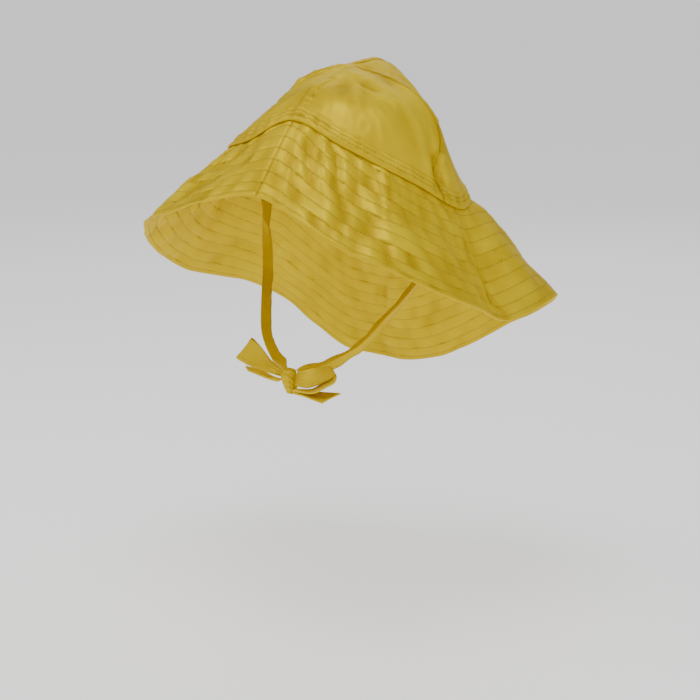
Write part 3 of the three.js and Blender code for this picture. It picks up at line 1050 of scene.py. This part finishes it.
    def stitch_rows(self) -> list[Array]:
        """Rows of points for the topstitching of the hem and the felled seams.

        Returns:
            One array of points for each row.
        """
        rows = []
        for _, start, end in self.panels:
            for height in self.hem_rows:
                bearings = np.linspace(self.form.seam_bearing(start, 0), self.form.seam_bearing(end, 0), 240)
                share = self.share_at(bearings, height)
                rows.append(self.surface(bearings, share, start, end, Side.OUTER)[0])
            shares = np.linspace(0.002, 0.9, 320)
            for distance in self.fell_rows:
                seam = self.form.seam_bearing(start, shares)
                bearings = seam
                for _ in range(3):
                    bearings = seam + distance / self.form.spacing(bearings, shares)
                rows.append(self.surface(bearings, shares, start, end, Side.OUTER)[0])
        return rows

    def build(self, cloth: bpy.types.Material, thread: bpy.types.Material, tree: StitchTree) -> None:
        """Makes the panels and their stitches.

        Args:
            cloth: Material of the cloth.
            thread: Material of the thread.
            tree: Maker of the stitches.
        """
        for name, start, end in self.panels:
            self.build_panel(name, start, end, cloth)
        place_piece(tree.sew("crown_stitches", self.stitch_rows(), thread), thread)


# ---- brim


@dataclass
class Brim:
    """Two-ply brim in two halves, quilted by rows of stitching that follow the edge."""

    form: HatForm
    wall: float = 2
    lap: float = 9
    row_pitch: float = 11
    first_row: float = 12
    hem_row: float = 3.2
    columns: int = 380
    rows: int = 104
    halves: tuple[tuple[str, float], ...] = (("brim_left", 0), ("brim_right", 180))
    gathered: tuple[tuple[float, float, float], ...] = (
        (20, 16, 1.0),
        (47, 14, 0.9),
        (85, 14, 0.6),
        (335, 22, 0.8),
        (298, 22, 1.2),
        (150, 30, 0.4),
        (215, 35, 0.5),
    )
    creases: tuple[Crease, ...] = (
        Crease(((83, 0.03), (87, 0.21), (90, 0.38), (90, 0.6), (91, 0.8), (93, 0.97)), -1.6, 3.0, True),
        Crease(((80, 0.05), (83, 0.22), (84, 0.36)), 1.2, 3.5),
        Crease(((12, 0.05), (13, 0.25), (16, 0.5)), -1.6, 3.5),
        Crease(((26, 0.05), (27, 0.25), (29, 0.55)), -1.4, 3.0),
        Crease(((20, 0.05), (20, 0.25), (23, 0.48)), 1.3, 4.0),
        Crease(((31, 0.10), (31, 0.26), (32, 0.44)), 1.2, 3.5),
        Crease(((48, 0.04), (48, 0.15), (48, 0.32)), 1.7, 4.0),
        Crease(((54, 0.04), (54, 0.2), (53, 0.5)), -1.3, 3.5),
        Crease(((7, 0.3), (8, 0.55), (9, 0.8)), 1.0, 3.0),
        Crease(((300, 0.40), (298, 0.68), (297, 0.95)), 2.0, 4.5),
        Crease(((311, 0.30), (309, 0.60), (308, 0.92)), -2.2, 4.0),
        Crease(((322, 0.25), (321, 0.55), (319, 0.88)), 2.0, 4.0),
        Crease(((333, 0.30), (332, 0.55), (331, 0.85)), -1.6, 3.5),
        Crease(((288, 0.50), (287, 0.75), (288, 0.97)), -1.6, 4.0),
        Crease(((317, 0.05), (315, 0.30), (312, 0.55)), -2.2, 3.0),
        Crease(((326, 0.05), (325, 0.28), (323, 0.50)), 1.9, 3.0),
        Crease(((305, 0.05), (304, 0.30), (302, 0.58)), 2.0, 3.2),
        Crease(((146, 0.30), (148, 0.60), (149, 0.95)), 1.4, 5.0),
        Crease(((163, 0.25), (164, 0.55), (166, 0.90)), -1.3, 4.0),
        Crease(((196, 0.30), (198, 0.60), (200, 0.92)), 1.4, 5.0),
        Crease(((236, 0.25), (238, 0.55), (239, 0.90)), -1.5, 4.5),
    )
    drape: Ripple = field(default_factory=lambda: Ripple(21, 60))
    folds: Ripple = field(default_factory=lambda: Ripple(22, 19))
    pleats: Ripple = field(default_factory=lambda: Ripple(23, 9))
    puckers: Ripple = field(default_factory=lambda: Ripple(24, 5.5))

    def row_distances(self) -> list[float]:
        """Distances of the stitch rows from the edge, the hem's row first."""
        return [self.hem_row] + [self.first_row + self.row_pitch * k for k in range(14)]

    def relief(self, bearing: Array, share: Array, side: Side) -> Array:
        """Height of the cloth over the smooth form, out of the wall's own face.

        Args:
            bearing: Bearings.
            share: Shares of the way out.
            side: Face of the wall.

        Returns:
            Heights in millimetres.
        """
        reach = self.form.brim_reach(bearing)
        inwards = (1 - share) * reach
        rows = np.array([0.0, *self.row_distances()])
        band = np.clip(np.searchsorted(rows, inwards) - 1, 0, len(rows) - 2)
        before, after = inwards - rows[band], rows[band + 1] - inwards
        nearest = np.where(band == 0, np.abs(after), np.minimum(np.abs(before), np.abs(after)))
        window = np.sin(np.pi * np.clip(before / (before + after), 0, 1))
        around = np.radians(bearing) * 128
        shift = 40.0 if side is Side.OUTER else 900.0
        crimp = np.stack([around, band * 14.0 + shift, np.zeros_like(around)], -1)
        loose = np.stack([around, band * 5.0 + inwards * 0.25 + shift, np.zeros_like(around)], -1)
        amount = 0.32 + sum(a * bump(bearing - b, w) for b, w, a in self.gathered)
        total = 0.14 * window**0.7 * (band > 0)
        total = total - 0.22 * np.exp(-((nearest / 0.8) ** 2))
        total = total + self.folds(loose) * 0.62 * amount * (0.6 + 0.4 * window**0.5)
        total = total + self.pleats(crimp) * 0.2 * (0.3 + 0.7 * amount) * np.exp(-nearest / 5)
        total = total + self.puckers(crimp) * 0.1 * np.exp(-nearest / 2.5)
        fade = smoothstep(inwards, 0.5, 7)
        total = total * (0.45 + 0.55 * fade)
        if side is Side.OUTER:
            for seam in (0, 180):
                turn = np.abs(np.mod(bearing - seam + 180, 360) - 180)
                across = np.radians(turn) * np.linalg.norm(self.form.brim(bearing, share)[..., :2], axis=-1)
                total = total - 0.9 * np.exp(-across / 0.9)
                total = total + 0.35 * np.exp(-(((across - 2.2) / 1.6) ** 2))
        return total

    def shared(self, bearing: Array, share: Array) -> Array:
        """Height that moves both plies together.

        Args:
            bearing: Bearings.
            share: Shares of the way out.

        Returns:
            Heights in millimetres.
        """
        base = self.form.brim(bearing, share)
        total = self.drape(base) * 1.1 * smoothstep(share, 0.05, 0.4)
        for crease in self.creases:
            total = total + crease.relief(base, self.form.brim)
        return total

    def surface(self, bearing: Array, share: Array, side: Side) -> tuple[Array, Array]:
        """Points of one face of the brim, and the relief there.

        Args:
            bearing: Bearings.
            share: Shares of the way out.
            side: Face of the wall.

        Returns:
            Points in millimetres, and heights of the relief.
        """
        own = self.relief(bearing, share, side)
        both = self.shared(bearing, share)
        fade = smoothstep(share, -0.01, 0.05)
        offset = (both + own * side.value) * fade - (self.wall if side is Side.INNER else 0)
        point = self.form.brim(bearing, share) + self.form.brim_normal(bearing, share) * offset[..., None]
        return point, own + both * 0.3 * side.value

    def lap_face(self, bearings: Array, height: float, side: Side) -> Array:
        """Points of the brim's top edge inside the crown's hem.

        Args:
            bearings: Bearings.
            height: Millimetres above the seam.
            side: Face of the wall.

        Returns:
            Points in millimetres.
        """
        share = height / self.form.waist_reach(bearings) / 4
        depth = self.wall if side is Side.INNER else 0
        return self.form.crown(bearings, share) - self.form.crown_normal(bearings, share) * depth

    def build_half(self, name: str, start: float, cloth: bpy.types.Material) -> None:
        """Makes one half's wall and ties it to its CAD node.

        Args:
            name: The CAD node.
            start: Bearing of its first seam.
            cloth: Material of the cloth.
        """
        bearings = np.linspace(start - 0.06, start + 180.06, self.columns)
        bearing = np.broadcast_to(bearings, (self.rows, self.columns)).copy()
        steps = np.linspace(0, 1, self.rows)
        reach = self.form.brim_reach(bearings)
        shares = 1 - steps[:, None] * np.ones_like(reach)
        outer, outer_relief = self.surface(bearing, shares, Side.OUTER)
        inner, inner_relief = self.surface(bearing, shares, Side.INNER)
        laps = [self.lap / 3, self.lap * 2 / 3, self.lap]
        outer = np.concatenate([outer, [self.lap_face(bearings, h, Side.OUTER) for h in laps]])
        inner = np.concatenate([inner, [self.lap_face(bearings, h, Side.INNER) for h in laps]])
        flat = np.zeros((len(laps), self.columns))
        uv = np.stack([np.radians(bearing) * 1.3, -(1 - shares) * reach / 100], -1)
        uv = np.concatenate([uv, uv[-1:] - np.array(laps)[:, None, None] * np.array([0, 0.01])])
        wall = Wall(
            outer,
            inner,
            uv,
            np.concatenate([outer_relief, flat]) / 1.05,
            np.concatenate([inner_relief, flat]) / 1.9,
        )
        place_piece(wall.build(name + "_cloth"), cloth, [name])

    def stitch_rows(self, start: float, side: Side) -> list[Array]:
        """Rows of points for the quilting on one face of one half.

        Args:
            start: Bearing of the half's first seam.
            side: Face of the wall.

        Returns:
            One array of points for each row.
        """
        rows = []
        bearings = np.linspace(start + 0.4, start + 179.6, 900)
        reach = self.form.brim_reach(bearings)
        for distance in self.row_distances():
            share = 1 - distance / reach
            inside = share > 0.03
            runs = np.split(np.arange(len(bearings)), np.where(np.diff(inside.astype(int)) != 0)[0] + 1)
            points = self.surface(bearings, np.clip(share, 0, 1), side)[0]
            rows += [points[run] for run in runs if inside[run[0]] and len(run) > 4]
        return rows

    def build(self, cloth: bpy.types.Material, thread: bpy.types.Material, tree: StitchTree) -> None:
        """Makes the halves and their quilting.

        Args:
            cloth: Material of the cloth.
            thread: Material of the thread.
            tree: Maker of the stitches.
        """
        for name, start in self.halves:
            self.build_half(name, start, cloth)
            for side in Side:
                rows = self.stitch_rows(start, side)
                label = f"{name}_{side.name.lower()}_stitches"
                place_piece(tree.sew(label, rows, thread), thread)


# ---- ties and bow


@dataclass(frozen=True)
class TieRow:
    """One row of a tie's way: its folded ridge, the way that points, and how far it is folded."""

    at: tuple[float, float, float]
    facing: tuple[float, float, float]
    half_angle: float


LEFT_TIE: tuple[TieRow, ...] = (
    TieRow((88, 2, -34), (0.95, -0.3, 0.1), 60),
    TieRow((73, -19.5, -69), (0.6, -0.75, 0.3), 17),
    TieRow((60.5, -40, -91), (0.5, -0.78, 0.36), 18),
    TieRow((46.8, -59.5, -112.3), (0.48, -0.76, 0.42), 24),
    TieRow((27, -76, -126), (0.42, -0.78, 0.45), 31),
    TieRow((11, -84.2, -130.8), (0.3, -0.84, 0.4), 34),
    TieRow((6.4, -86.8, -133.3), (0.2, -0.9, 0.3), 32),
)


def through(points: Array, steps: Array) -> Array:
    """Points of a smooth curve through points, at places counted in rows.

    Args:
        points: The points.
        steps: Places along them; 1 is the second point.

    Returns:
        The curve's points.
    """
    padded = np.concatenate([2 * points[:1] - points[1:2], points, 2 * points[-1:] - points[-2:-1]])
    place = np.clip(steps, 0, len(points) - 1 - 1e-6)
    first = np.floor(place).astype(int)
    return spline([padded[first + k] for k in range(4)], (place - first)[:, None])


@dataclass
class ChinTies:
    """Two flat tapes, folded lengthwise on their way from the hat to the knot."""

    form: HatForm
    width: float = 19
    wall: float = 1.1
    gathered: float = 0.42
    gather_reach: float = 14
    anchors: tuple[tuple[str, float, float], ...] = (("tie_left", 98, 1), ("tie_right", 262, -1))
    steps: int = 170
    across: int = 19
    wave: Ripple = field(default_factory=lambda: Ripple(31, 26))

    def section(self, name: str, bearing: float, mirror: int) -> tuple[Array, Array, Array]:
        """Frames of one tie.

        Args:
            name: The tie's CAD node.
            bearing: Where it is sewn to the hat.
            mirror: 1 for the wearer's left, -1 for the right.

        Returns:
            Outer points, inner points and outward directions, along by across.
        """
        at = np.array([bearing], float)
        share = 3 / self.form.waist_reach(at) / 4
        normal = self.form.crown_normal(at, share)[0]
        top = self.form.crown(at, share)[0] - normal * 2.85
        lower = top - normal * 2.5 - np.array([0, 0, 14.0])
        flip = np.array([mirror, 1, 1])
        points = np.array([top, lower, *[np.array(row.at) * flip for row in LEFT_TIE]])
        facing = np.array([normal, normal, *[np.array(row.facing) * flip for row in LEFT_TIE]])
        angles = np.array([90, 88, *[row.half_angle for row in LEFT_TIE]], float)
        places = np.linspace(0, len(points) - 1, self.steps)
        line = through(points, places)
        tangent = unit(np.gradient(line, axis=0))
        angle = np.radians(np.interp(places, range(len(angles)), angles))
        angle = angle + 0.10 * self.wave(line)
        out = np.stack([np.interp(places, range(len(facing)), facing[:, k]) for k in range(3)], -1)
        out = unit(out - tangent * np.sum(out * tangent, -1, keepdims=True))
        side = np.cross(tangent, out)
        travelled = np.concatenate([[0], np.cumsum(np.linalg.norm(np.diff(line, axis=0), axis=1))])
        full = smoothstep(travelled[-1] - travelled, 0, self.gather_reach)
        scale = self.gathered + (1 - self.gathered) * full
        w = np.linspace(-0.5, 0.5, self.across)[None, :] * self.width * scale[:, None]
        bend = np.sqrt(w**2 + 0.8**2)
        x = np.sin(angle)[:, None] * w
        y = -np.cos(angle)[:, None] * (bend - 0.8)
        curl = 0.35 * self.wave(line * 1.7)[:, None] * (w / self.width * 2) ** 2
        face_x = np.cos(angle)[:, None] * w / bend
        face_y = np.sin(angle)[:, None] * np.ones_like(w)
        grow = np.hypot(face_x, face_y)
        face_x, face_y = face_x / grow, face_y / grow
        hem = 0.18 * (1 - smoothstep(self.width * scale[:, None] / 2 - np.abs(w), 2.4, 3.0))
        normal3 = side[:, None] * face_x[..., None] + out[:, None] * face_y[..., None]
        middle = line[:, None] + side[:, None] * x[..., None] + out[:, None] * (y + curl)[..., None]
        outer = middle + normal3 * hem[..., None]
        inner = middle - normal3 * (self.wall + hem)[..., None]
        LOG.info("%s: %.0f mm from hat to knot", name, travelled[-1])
        return outer, inner, normal3

    def build(self, cloth: bpy.types.Material, thread: bpy.types.Material, tree: StitchTree) -> None:
        """Makes both ties and their edge stitching.

        Args:
            cloth: Material of the tape.
            thread: Material of the thread.
            tree: Maker of the stitches.
        """
        for name, bearing, mirror in self.anchors:
            outer, inner, normal = self.section(name, bearing, mirror)
            tape = tape_object(name + "_tape", outer, inner)
            place_piece(tape, cloth, [name])
            rows = []
            for k in (1, self.across - 2):
                rows += [outer[:, k] + normal[:, k] * 0.1, inner[:, k] - normal[:, k] * 0.1]
            place_piece(tree.sew(name + "_stitches", rows, thread, Pitch=2.8, Length=2.0), thread)


def tape_object(name: str, outer: Array, inner: Array) -> bpy.types.Object:
    """Closed tape from the grids of its two faces.

    Args:
        name: The object's name.
        outer: Points of the outer face, along by across.
        inner: Points of the inner face.

    Returns:
        The new object.
    """
    rows, columns = outer.shape[:2]
    ring = np.concatenate([outer, inner[:, ::-1]], 1)
    points = ring.reshape(-1, 3)
    sides = 2 * columns
    faces = []
    for r in range(rows - 1):
        for c in range(sides):
            n = (c + 1) % sides
            faces.append((r * sides + c, r * sides + n, (r + 1) * sides + n, (r + 1) * sides + c))
    last = (rows - 1) * sides
    for c in range(columns - 1):
        faces.append((c + 1, c, sides - 1 - c, sides - 2 - c))
        faces.append((last + c, last + c + 1, last + sides - 2 - c, last + sides - 1 - c))
    made = make_object(name, points, faces)
    turn_outward(made)
    along = np.repeat(np.arange(rows)[:, None] * 0.02, sides, 1)
    over = np.repeat(np.arange(sides)[None] * 0.01, rows, 0)
    store_uv(made, np.stack([along, over], -1).reshape(-1, 2))
    store(made, "crumple", np.zeros(rows * sides))
    return made


def turn_outward(made: bpy.types.Object) -> None:
    """Turns a closed mesh's faces outward if they point in.

    Args:
        made: The mesh object.
    """
    mesh = made.data
    mesh.calc_loop_triangles()
    volume = 0.0
    for triangle in mesh.loop_triangles:
        a, b, c = (mesh.vertices[k].co for k in triangle.vertices)
        volume += a.dot(b.cross(c))
    if volume < 0:
        mesh.flip_normals()


@dataclass
class Bow:
    """Knot, two loops and two tails of the ties."""

    wall: float = 1.1
    fine_along: int = 10
    across: int = 15
    ribbons: dict[str, tuple[tuple[tuple[float, float, float], tuple[float, float, float]], ...]] = field(
        default_factory=lambda: {
            "bow_loop_left": (
                ((6.8, -87.5, -133.8), (6.6, -91, -144)),
                ((18, -85.3, -129.9), (22.5, -94.5, -142.2)),
                ((30.5, -84, -127.5), (41, -97, -133.4)),
                ((35.2, -83.6, -126.2), (49, -97.8, -128.6)),
                ((38.2, -86.8, -131.2), (50.8, -102.2, -132.4)),
                ((34.6, -88.5, -136), (45.5, -103, -136.2)),
                ((22, -89.2, -144.8), (30.5, -102.5, -143.8)),
                ((7.3, -90.6, -146.2), (7.2, -94.8, -146.6)),
            ),
            "bow_loop_right": (
                ((-6.3, -89.5, -133), (-6.4, -90.5, -138)),
                ((-18, -88, -127.5), (-21.5, -89.5, -136.5)),
                ((-28, -86.5, -118), (-37, -88.5, -134)),
                ((-36.8, -86.4, -112.6), (-50, -88.2, -129.7)),
                ((-37.2, -84.2, -112.5), (-50.8, -85.6, -129.3)),
                ((-31, -82.5, -119), (-41, -84, -134.5)),
                ((-20, -84, -128.5), (-24, -85.5, -137)),
                ((-6.6, -87.2, -134), (-6.4, -88, -138.5)),
            ),
            "bow_tail_left": (
                ((7.4, -88.5, -148.3), (7.2, -93.4, -148.8)),
                ((15, -86, -147.8), (16, -96.5, -148.6)),
                ((28, -87, -147), (27, -100, -149.2)),
                ((48.5, -90, -144.5), (40.5, -104, -150)),
            ),
            "bow_tail_right": (
                ((-5.6, -90.5, -140), (-5.5, -95, -140.4)),
                ((-13, -93.4, -137.8), (-11, -100.4, -138.3)),
                ((-24, -94, -134.5), (-14, -106.5, -135)),
                ((-39, -93, -133.5), (-26, -107.5, -132)),
            ),
        }
    )
    knot_centre: tuple[float, float] = (0, -89.5)
    knot_sections: tuple[tuple[float, float, float, float], ...] = (
        (-150.5, 2.4, 3, 3.4),
        (-149.5, 3.6, 4.6, 3.2),
        (-144, 4.9, 5.6, 1.7),
        (-140, 5.6, 5.4, 0.6),
        (-135, 6.1, 5.4, 0),
        (-132, 5.4, 5, -0.2),
        (-131, 3.6, 3.4, -0.2),
    )

    def ribbon(self, name: str, cloth: bpy.types.Material) -> list[Array]:
        """Makes one loop or tail.

        Args:
            name: Its CAD node.
            cloth: Material of the tape.

        Returns:
            Rows of points for its edge stitching.
        """
        rows = self.ribbons[name]
        upper = np.array([row[0] for row in rows], float)
        lower = np.array([row[1] for row in rows], float)
        places = np.linspace(0, len(rows) - 1, (len(rows) - 1) * self.fine_along + 1)
        top, bottom = through(upper, places), through(lower, places)
        v = np.linspace(0, 1, self.across)[None, :, None]
        grid = top[:, None] * (1 - v) + bottom[:, None] * v
        along = np.gradient(grid, axis=0)
        normal = unit(np.cross(along, (top - bottom)[:, None]))
        middle = (top + bottom) / 2
        travelled = np.concatenate([[0], np.cumsum(np.linalg.norm(np.diff(middle, axis=0), axis=1))])
        to_knot = np.minimum(travelled, travelled[-1] - travelled) if "loop" in name else travelled
        pinch = (1 - smoothstep(to_knot, 1, 15)) * smoothstep(to_knot, -1, 2)
        pleat = 0.6 * np.sin(2 * np.pi * 2.5 * v[..., 0] + 0.6) * pinch[:, None]
        bow_out = 0.5 * np.sin(np.pi * v[..., 0]) * (1 - pinch[:, None])
        hem = 0.16 * (1 - smoothstep(np.minimum(v, 1 - v)[..., 0], 0.12, 0.17))
        sheet = grid + normal * (pleat + bow_out * 0.6)[..., None]
        outer = sheet + normal * (self.wall / 2 + hem)[..., None]
        inner = sheet - normal * (self.wall / 2 + hem)[..., None]
        place_piece(tape_object(name + "_tape", outer, inner), cloth, [name])
        rows_out = []
        for k in (2, self.across - 3):
            rows_out += [outer[2:-1, k], inner[2:-1, k]]
        if "tail" in name:
            rows_out += [outer[-3, 2:-2], inner[-3, 2:-2]]
        return rows_out

    def knot(self, cloth: bpy.types.Material) -> None:
        """Makes the knot: a wrap of tape with pressed pleats.

        Args:
            cloth: Material of the tape.
        """
        table = np.array(self.knot_sections, float)
        sides, levels = 64, 46
        z = np.linspace(table[0, 0], table[-1, 0], levels)
        half_x = np.interp(z, table[:, 0], table[:, 1])
        half_y = np.interp(z, table[:, 0], table[:, 2])
        turn = np.linspace(0, 2 * np.pi, sides, endpoint=False)
        across = np.sign(np.cos(turn)) * np.abs(np.cos(turn)) ** 0.72
        deep = np.sign(np.sin(turn)) * np.abs(np.sin(turn)) ** 0.72
        shift = np.interp(z, table[:, 0], table[:, 3])
        x = self.knot_centre[0] + shift[:, None] + half_x[:, None] * across
        y = self.knot_centre[1] + half_y[:, None] * deep
        level = np.repeat(z[:, None], sides, 1)
        points = np.stack([x, y, level], -1)
        out = np.stack([np.cos(turn), np.sin(turn), np.zeros(sides)], -1)[None]
        slant = level + 3.5 * np.sin(turn)[None] + 1.5 * np.cos(turn)[None]
        crossing = np.exp(-(((slant + 137.2) / 0.9) ** 2))
        pleats = 0.28 * np.sin(slant * 1.55 + 1.2 * np.sin(2 * turn)[None])
        wrap_edge = np.exp(-(((turn - 5.35) / 0.10) ** 2))[None] * (level < -137.5)
        push = pleats - 0.9 * crossing - 0.7 * wrap_edge
        points = points + out * push[..., None]
        faces = []
        for r in range(levels - 1):
            for c in range(sides):
                n = (c + 1) % sides
                faces.append((r * sides + c, r * sides + n, (r + 1) * sides + n, (r + 1) * sides + c))
        faces.append(list(range(sides))[::-1])
        faces.append([(levels - 1) * sides + c for c in range(sides)])
        made = make_object("bow_knot_wrap", points.reshape(-1, 3), faces)
        turn_outward(made)
        store_uv(made, np.stack([np.repeat(turn[None], levels, 0) * 0.06, level * 0.01], -1).reshape(-1, 2))
        # the dips of the pleats, crossing and wrap edge also darken the cloth through the crumple attribute:
        # painted shade
        store(made, "crumple", push / 1.2)
        place_piece(made, cloth, ["bow_knot"])

    def build(self, cloth: bpy.types.Material, thread: bpy.types.Material, tree: StitchTree) -> None:
        """Makes the knot, the loops, the tails and their stitching.

        Args:
            cloth: Material of the tape.
            thread: Material of the thread.
            tree: Maker of the stitches.
        """
        self.knot(cloth)
        rows = []
        for name in self.ribbons:
            rows += self.ribbon(name, cloth)
        sewn = tree.sew("bow_stitches", rows, thread, Pitch=2.8, Length=2.0)
        place_piece(sewn, thread)


# ---- studio


@dataclass
class Studio:
    """Floor, lights and the camera that looks at the hat from its front left."""

    floor_height: float = -0.36
    azimuth: float = 32
    pitch: float = 13
    distance: float = 1.27
    focal_pixels: float = 1562
    aim: tuple[float, float] = (349, 190)
    frame_pixels: float = 700
    sensor: float = 36
    floor_half: float = 400.0
    sky_strength: float = 0.42

    def camera(self) -> None:
        """Makes the camera so that the part's origin lands on the aimed pixel."""
        a, e = math.radians(self.azimuth), math.radians(self.pitch)
        back = Vector((math.sin(a) * math.cos(e), -math.cos(a) * math.cos(e), math.sin(e)))
        right = Vector((math.cos(a), math.sin(a), 0))
        up = back.cross(right)
        middle = self.frame_pixels / 2
        u, v = (self.aim[0] - middle) / self.focal_pixels, (middle - self.aim[1]) / self.focal_pixels
        place = (back - right * u - up * v) * self.distance
        data = bpy.data.cameras.new("camera")
        data.sensor_width = self.sensor
        data.lens = self.focal_pixels / self.frame_pixels * self.sensor
        data.clip_start, data.clip_end = 0.05, 800
        made = bpy.data.objects.new("camera", data)
        turned = Matrix((right, up, back)).transposed().to_4x4()
        made.matrix_world = Matrix.Translation(place) @ turned
        bpy.context.collection.objects.link(made)
        bpy.context.scene.camera = made

    def light(
        self, name: str, bearing: float, height: float, distance: float, size: float, power: float
    ) -> None:
        """Adds a soft box that faces the hat.

        Args:
            name: The light's name.
            bearing: Bearing of the light from the hat.
            height: Its angle above the hat.
            distance: Its distance in metres.
            size: Side of the square in metres.
            power: Power in watts.
        """
        a, e = math.radians(bearing), math.radians(height)
        toward = Vector((math.sin(a) * math.cos(e), -math.cos(a) * math.cos(e), math.sin(e)))
        data = bpy.data.lights.new(name, "AREA")
        data.size = size
        data.energy = power
        made = bpy.data.objects.new(name, data)
        made.rotation_mode = "QUATERNION"
        made.location = toward * distance
        made.rotation_quaternion = toward.to_track_quat("Z", "Y")
        bpy.context.collection.objects.link(made)

    def build(self) -> None:
        """Makes the floor, the lights, the sky's even glow and the camera."""
        size = self.floor_half
        corners = np.array([(-size, -size), (size, -size), (size, size), (-size, size)]) / MM
        points = np.column_stack([corners, np.full(4, self.floor_height / MM)])
        floor = make_object("floor", points, [(0, 1, 2, 3)])
        floor.data.materials.append(StudioFloor("floor_pale").material())
        self.light("key", 22, 66, 1.5, 0.9, 11.5)
        self.light("side", -48, 32, 1.8, 1.0, 11)
        self.light("fill", 95, 24, 2.2, 1.4, 5)
        self.light("back", 200, 38, 2.0, 1.4, 7)
        self.light("low", 52, 3, 1.9, 0.6, 4)
        world = bpy.data.worlds.new("studio")
        world.use_nodes = True
        sky = world.node_tree.nodes["Background"]
        sky.inputs["Color"].default_value = (1, 1, 1, 1)
        sky.inputs["Strength"].default_value = self.sky_strength
        bpy.context.scene.world = world
        self.camera()


def main() -> None:
    """Builds the hat and its studio."""
    logging.basicConfig(level=logging.INFO, format="%(name)s %(message)s")
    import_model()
    form = HatForm()
    crown, brim = Crown(form), Brim(form)
    crown_cloth = CoatedCloth("crown_cloth_coated", sewn_rows=crown.hem_rows).material()
    brim_cloth = CoatedCloth("brim_cloth_coated", sewn_rows=tuple(brim.row_distances())).material()
    tape = CoatedCloth("tie_tape_coated", roughness=0.42).material()
    thread = SewingThread("thread_yellow").material()
    tree = StitchTree()
    Studio().build()
    ChinTies(form).build(tape, thread, tree)
    Bow().build(tape, thread, tree)
    crown.build(crown_cloth, thread, tree)
    brim.build(brim_cloth, thread, tree)


if __name__ == "__main__":
    main()
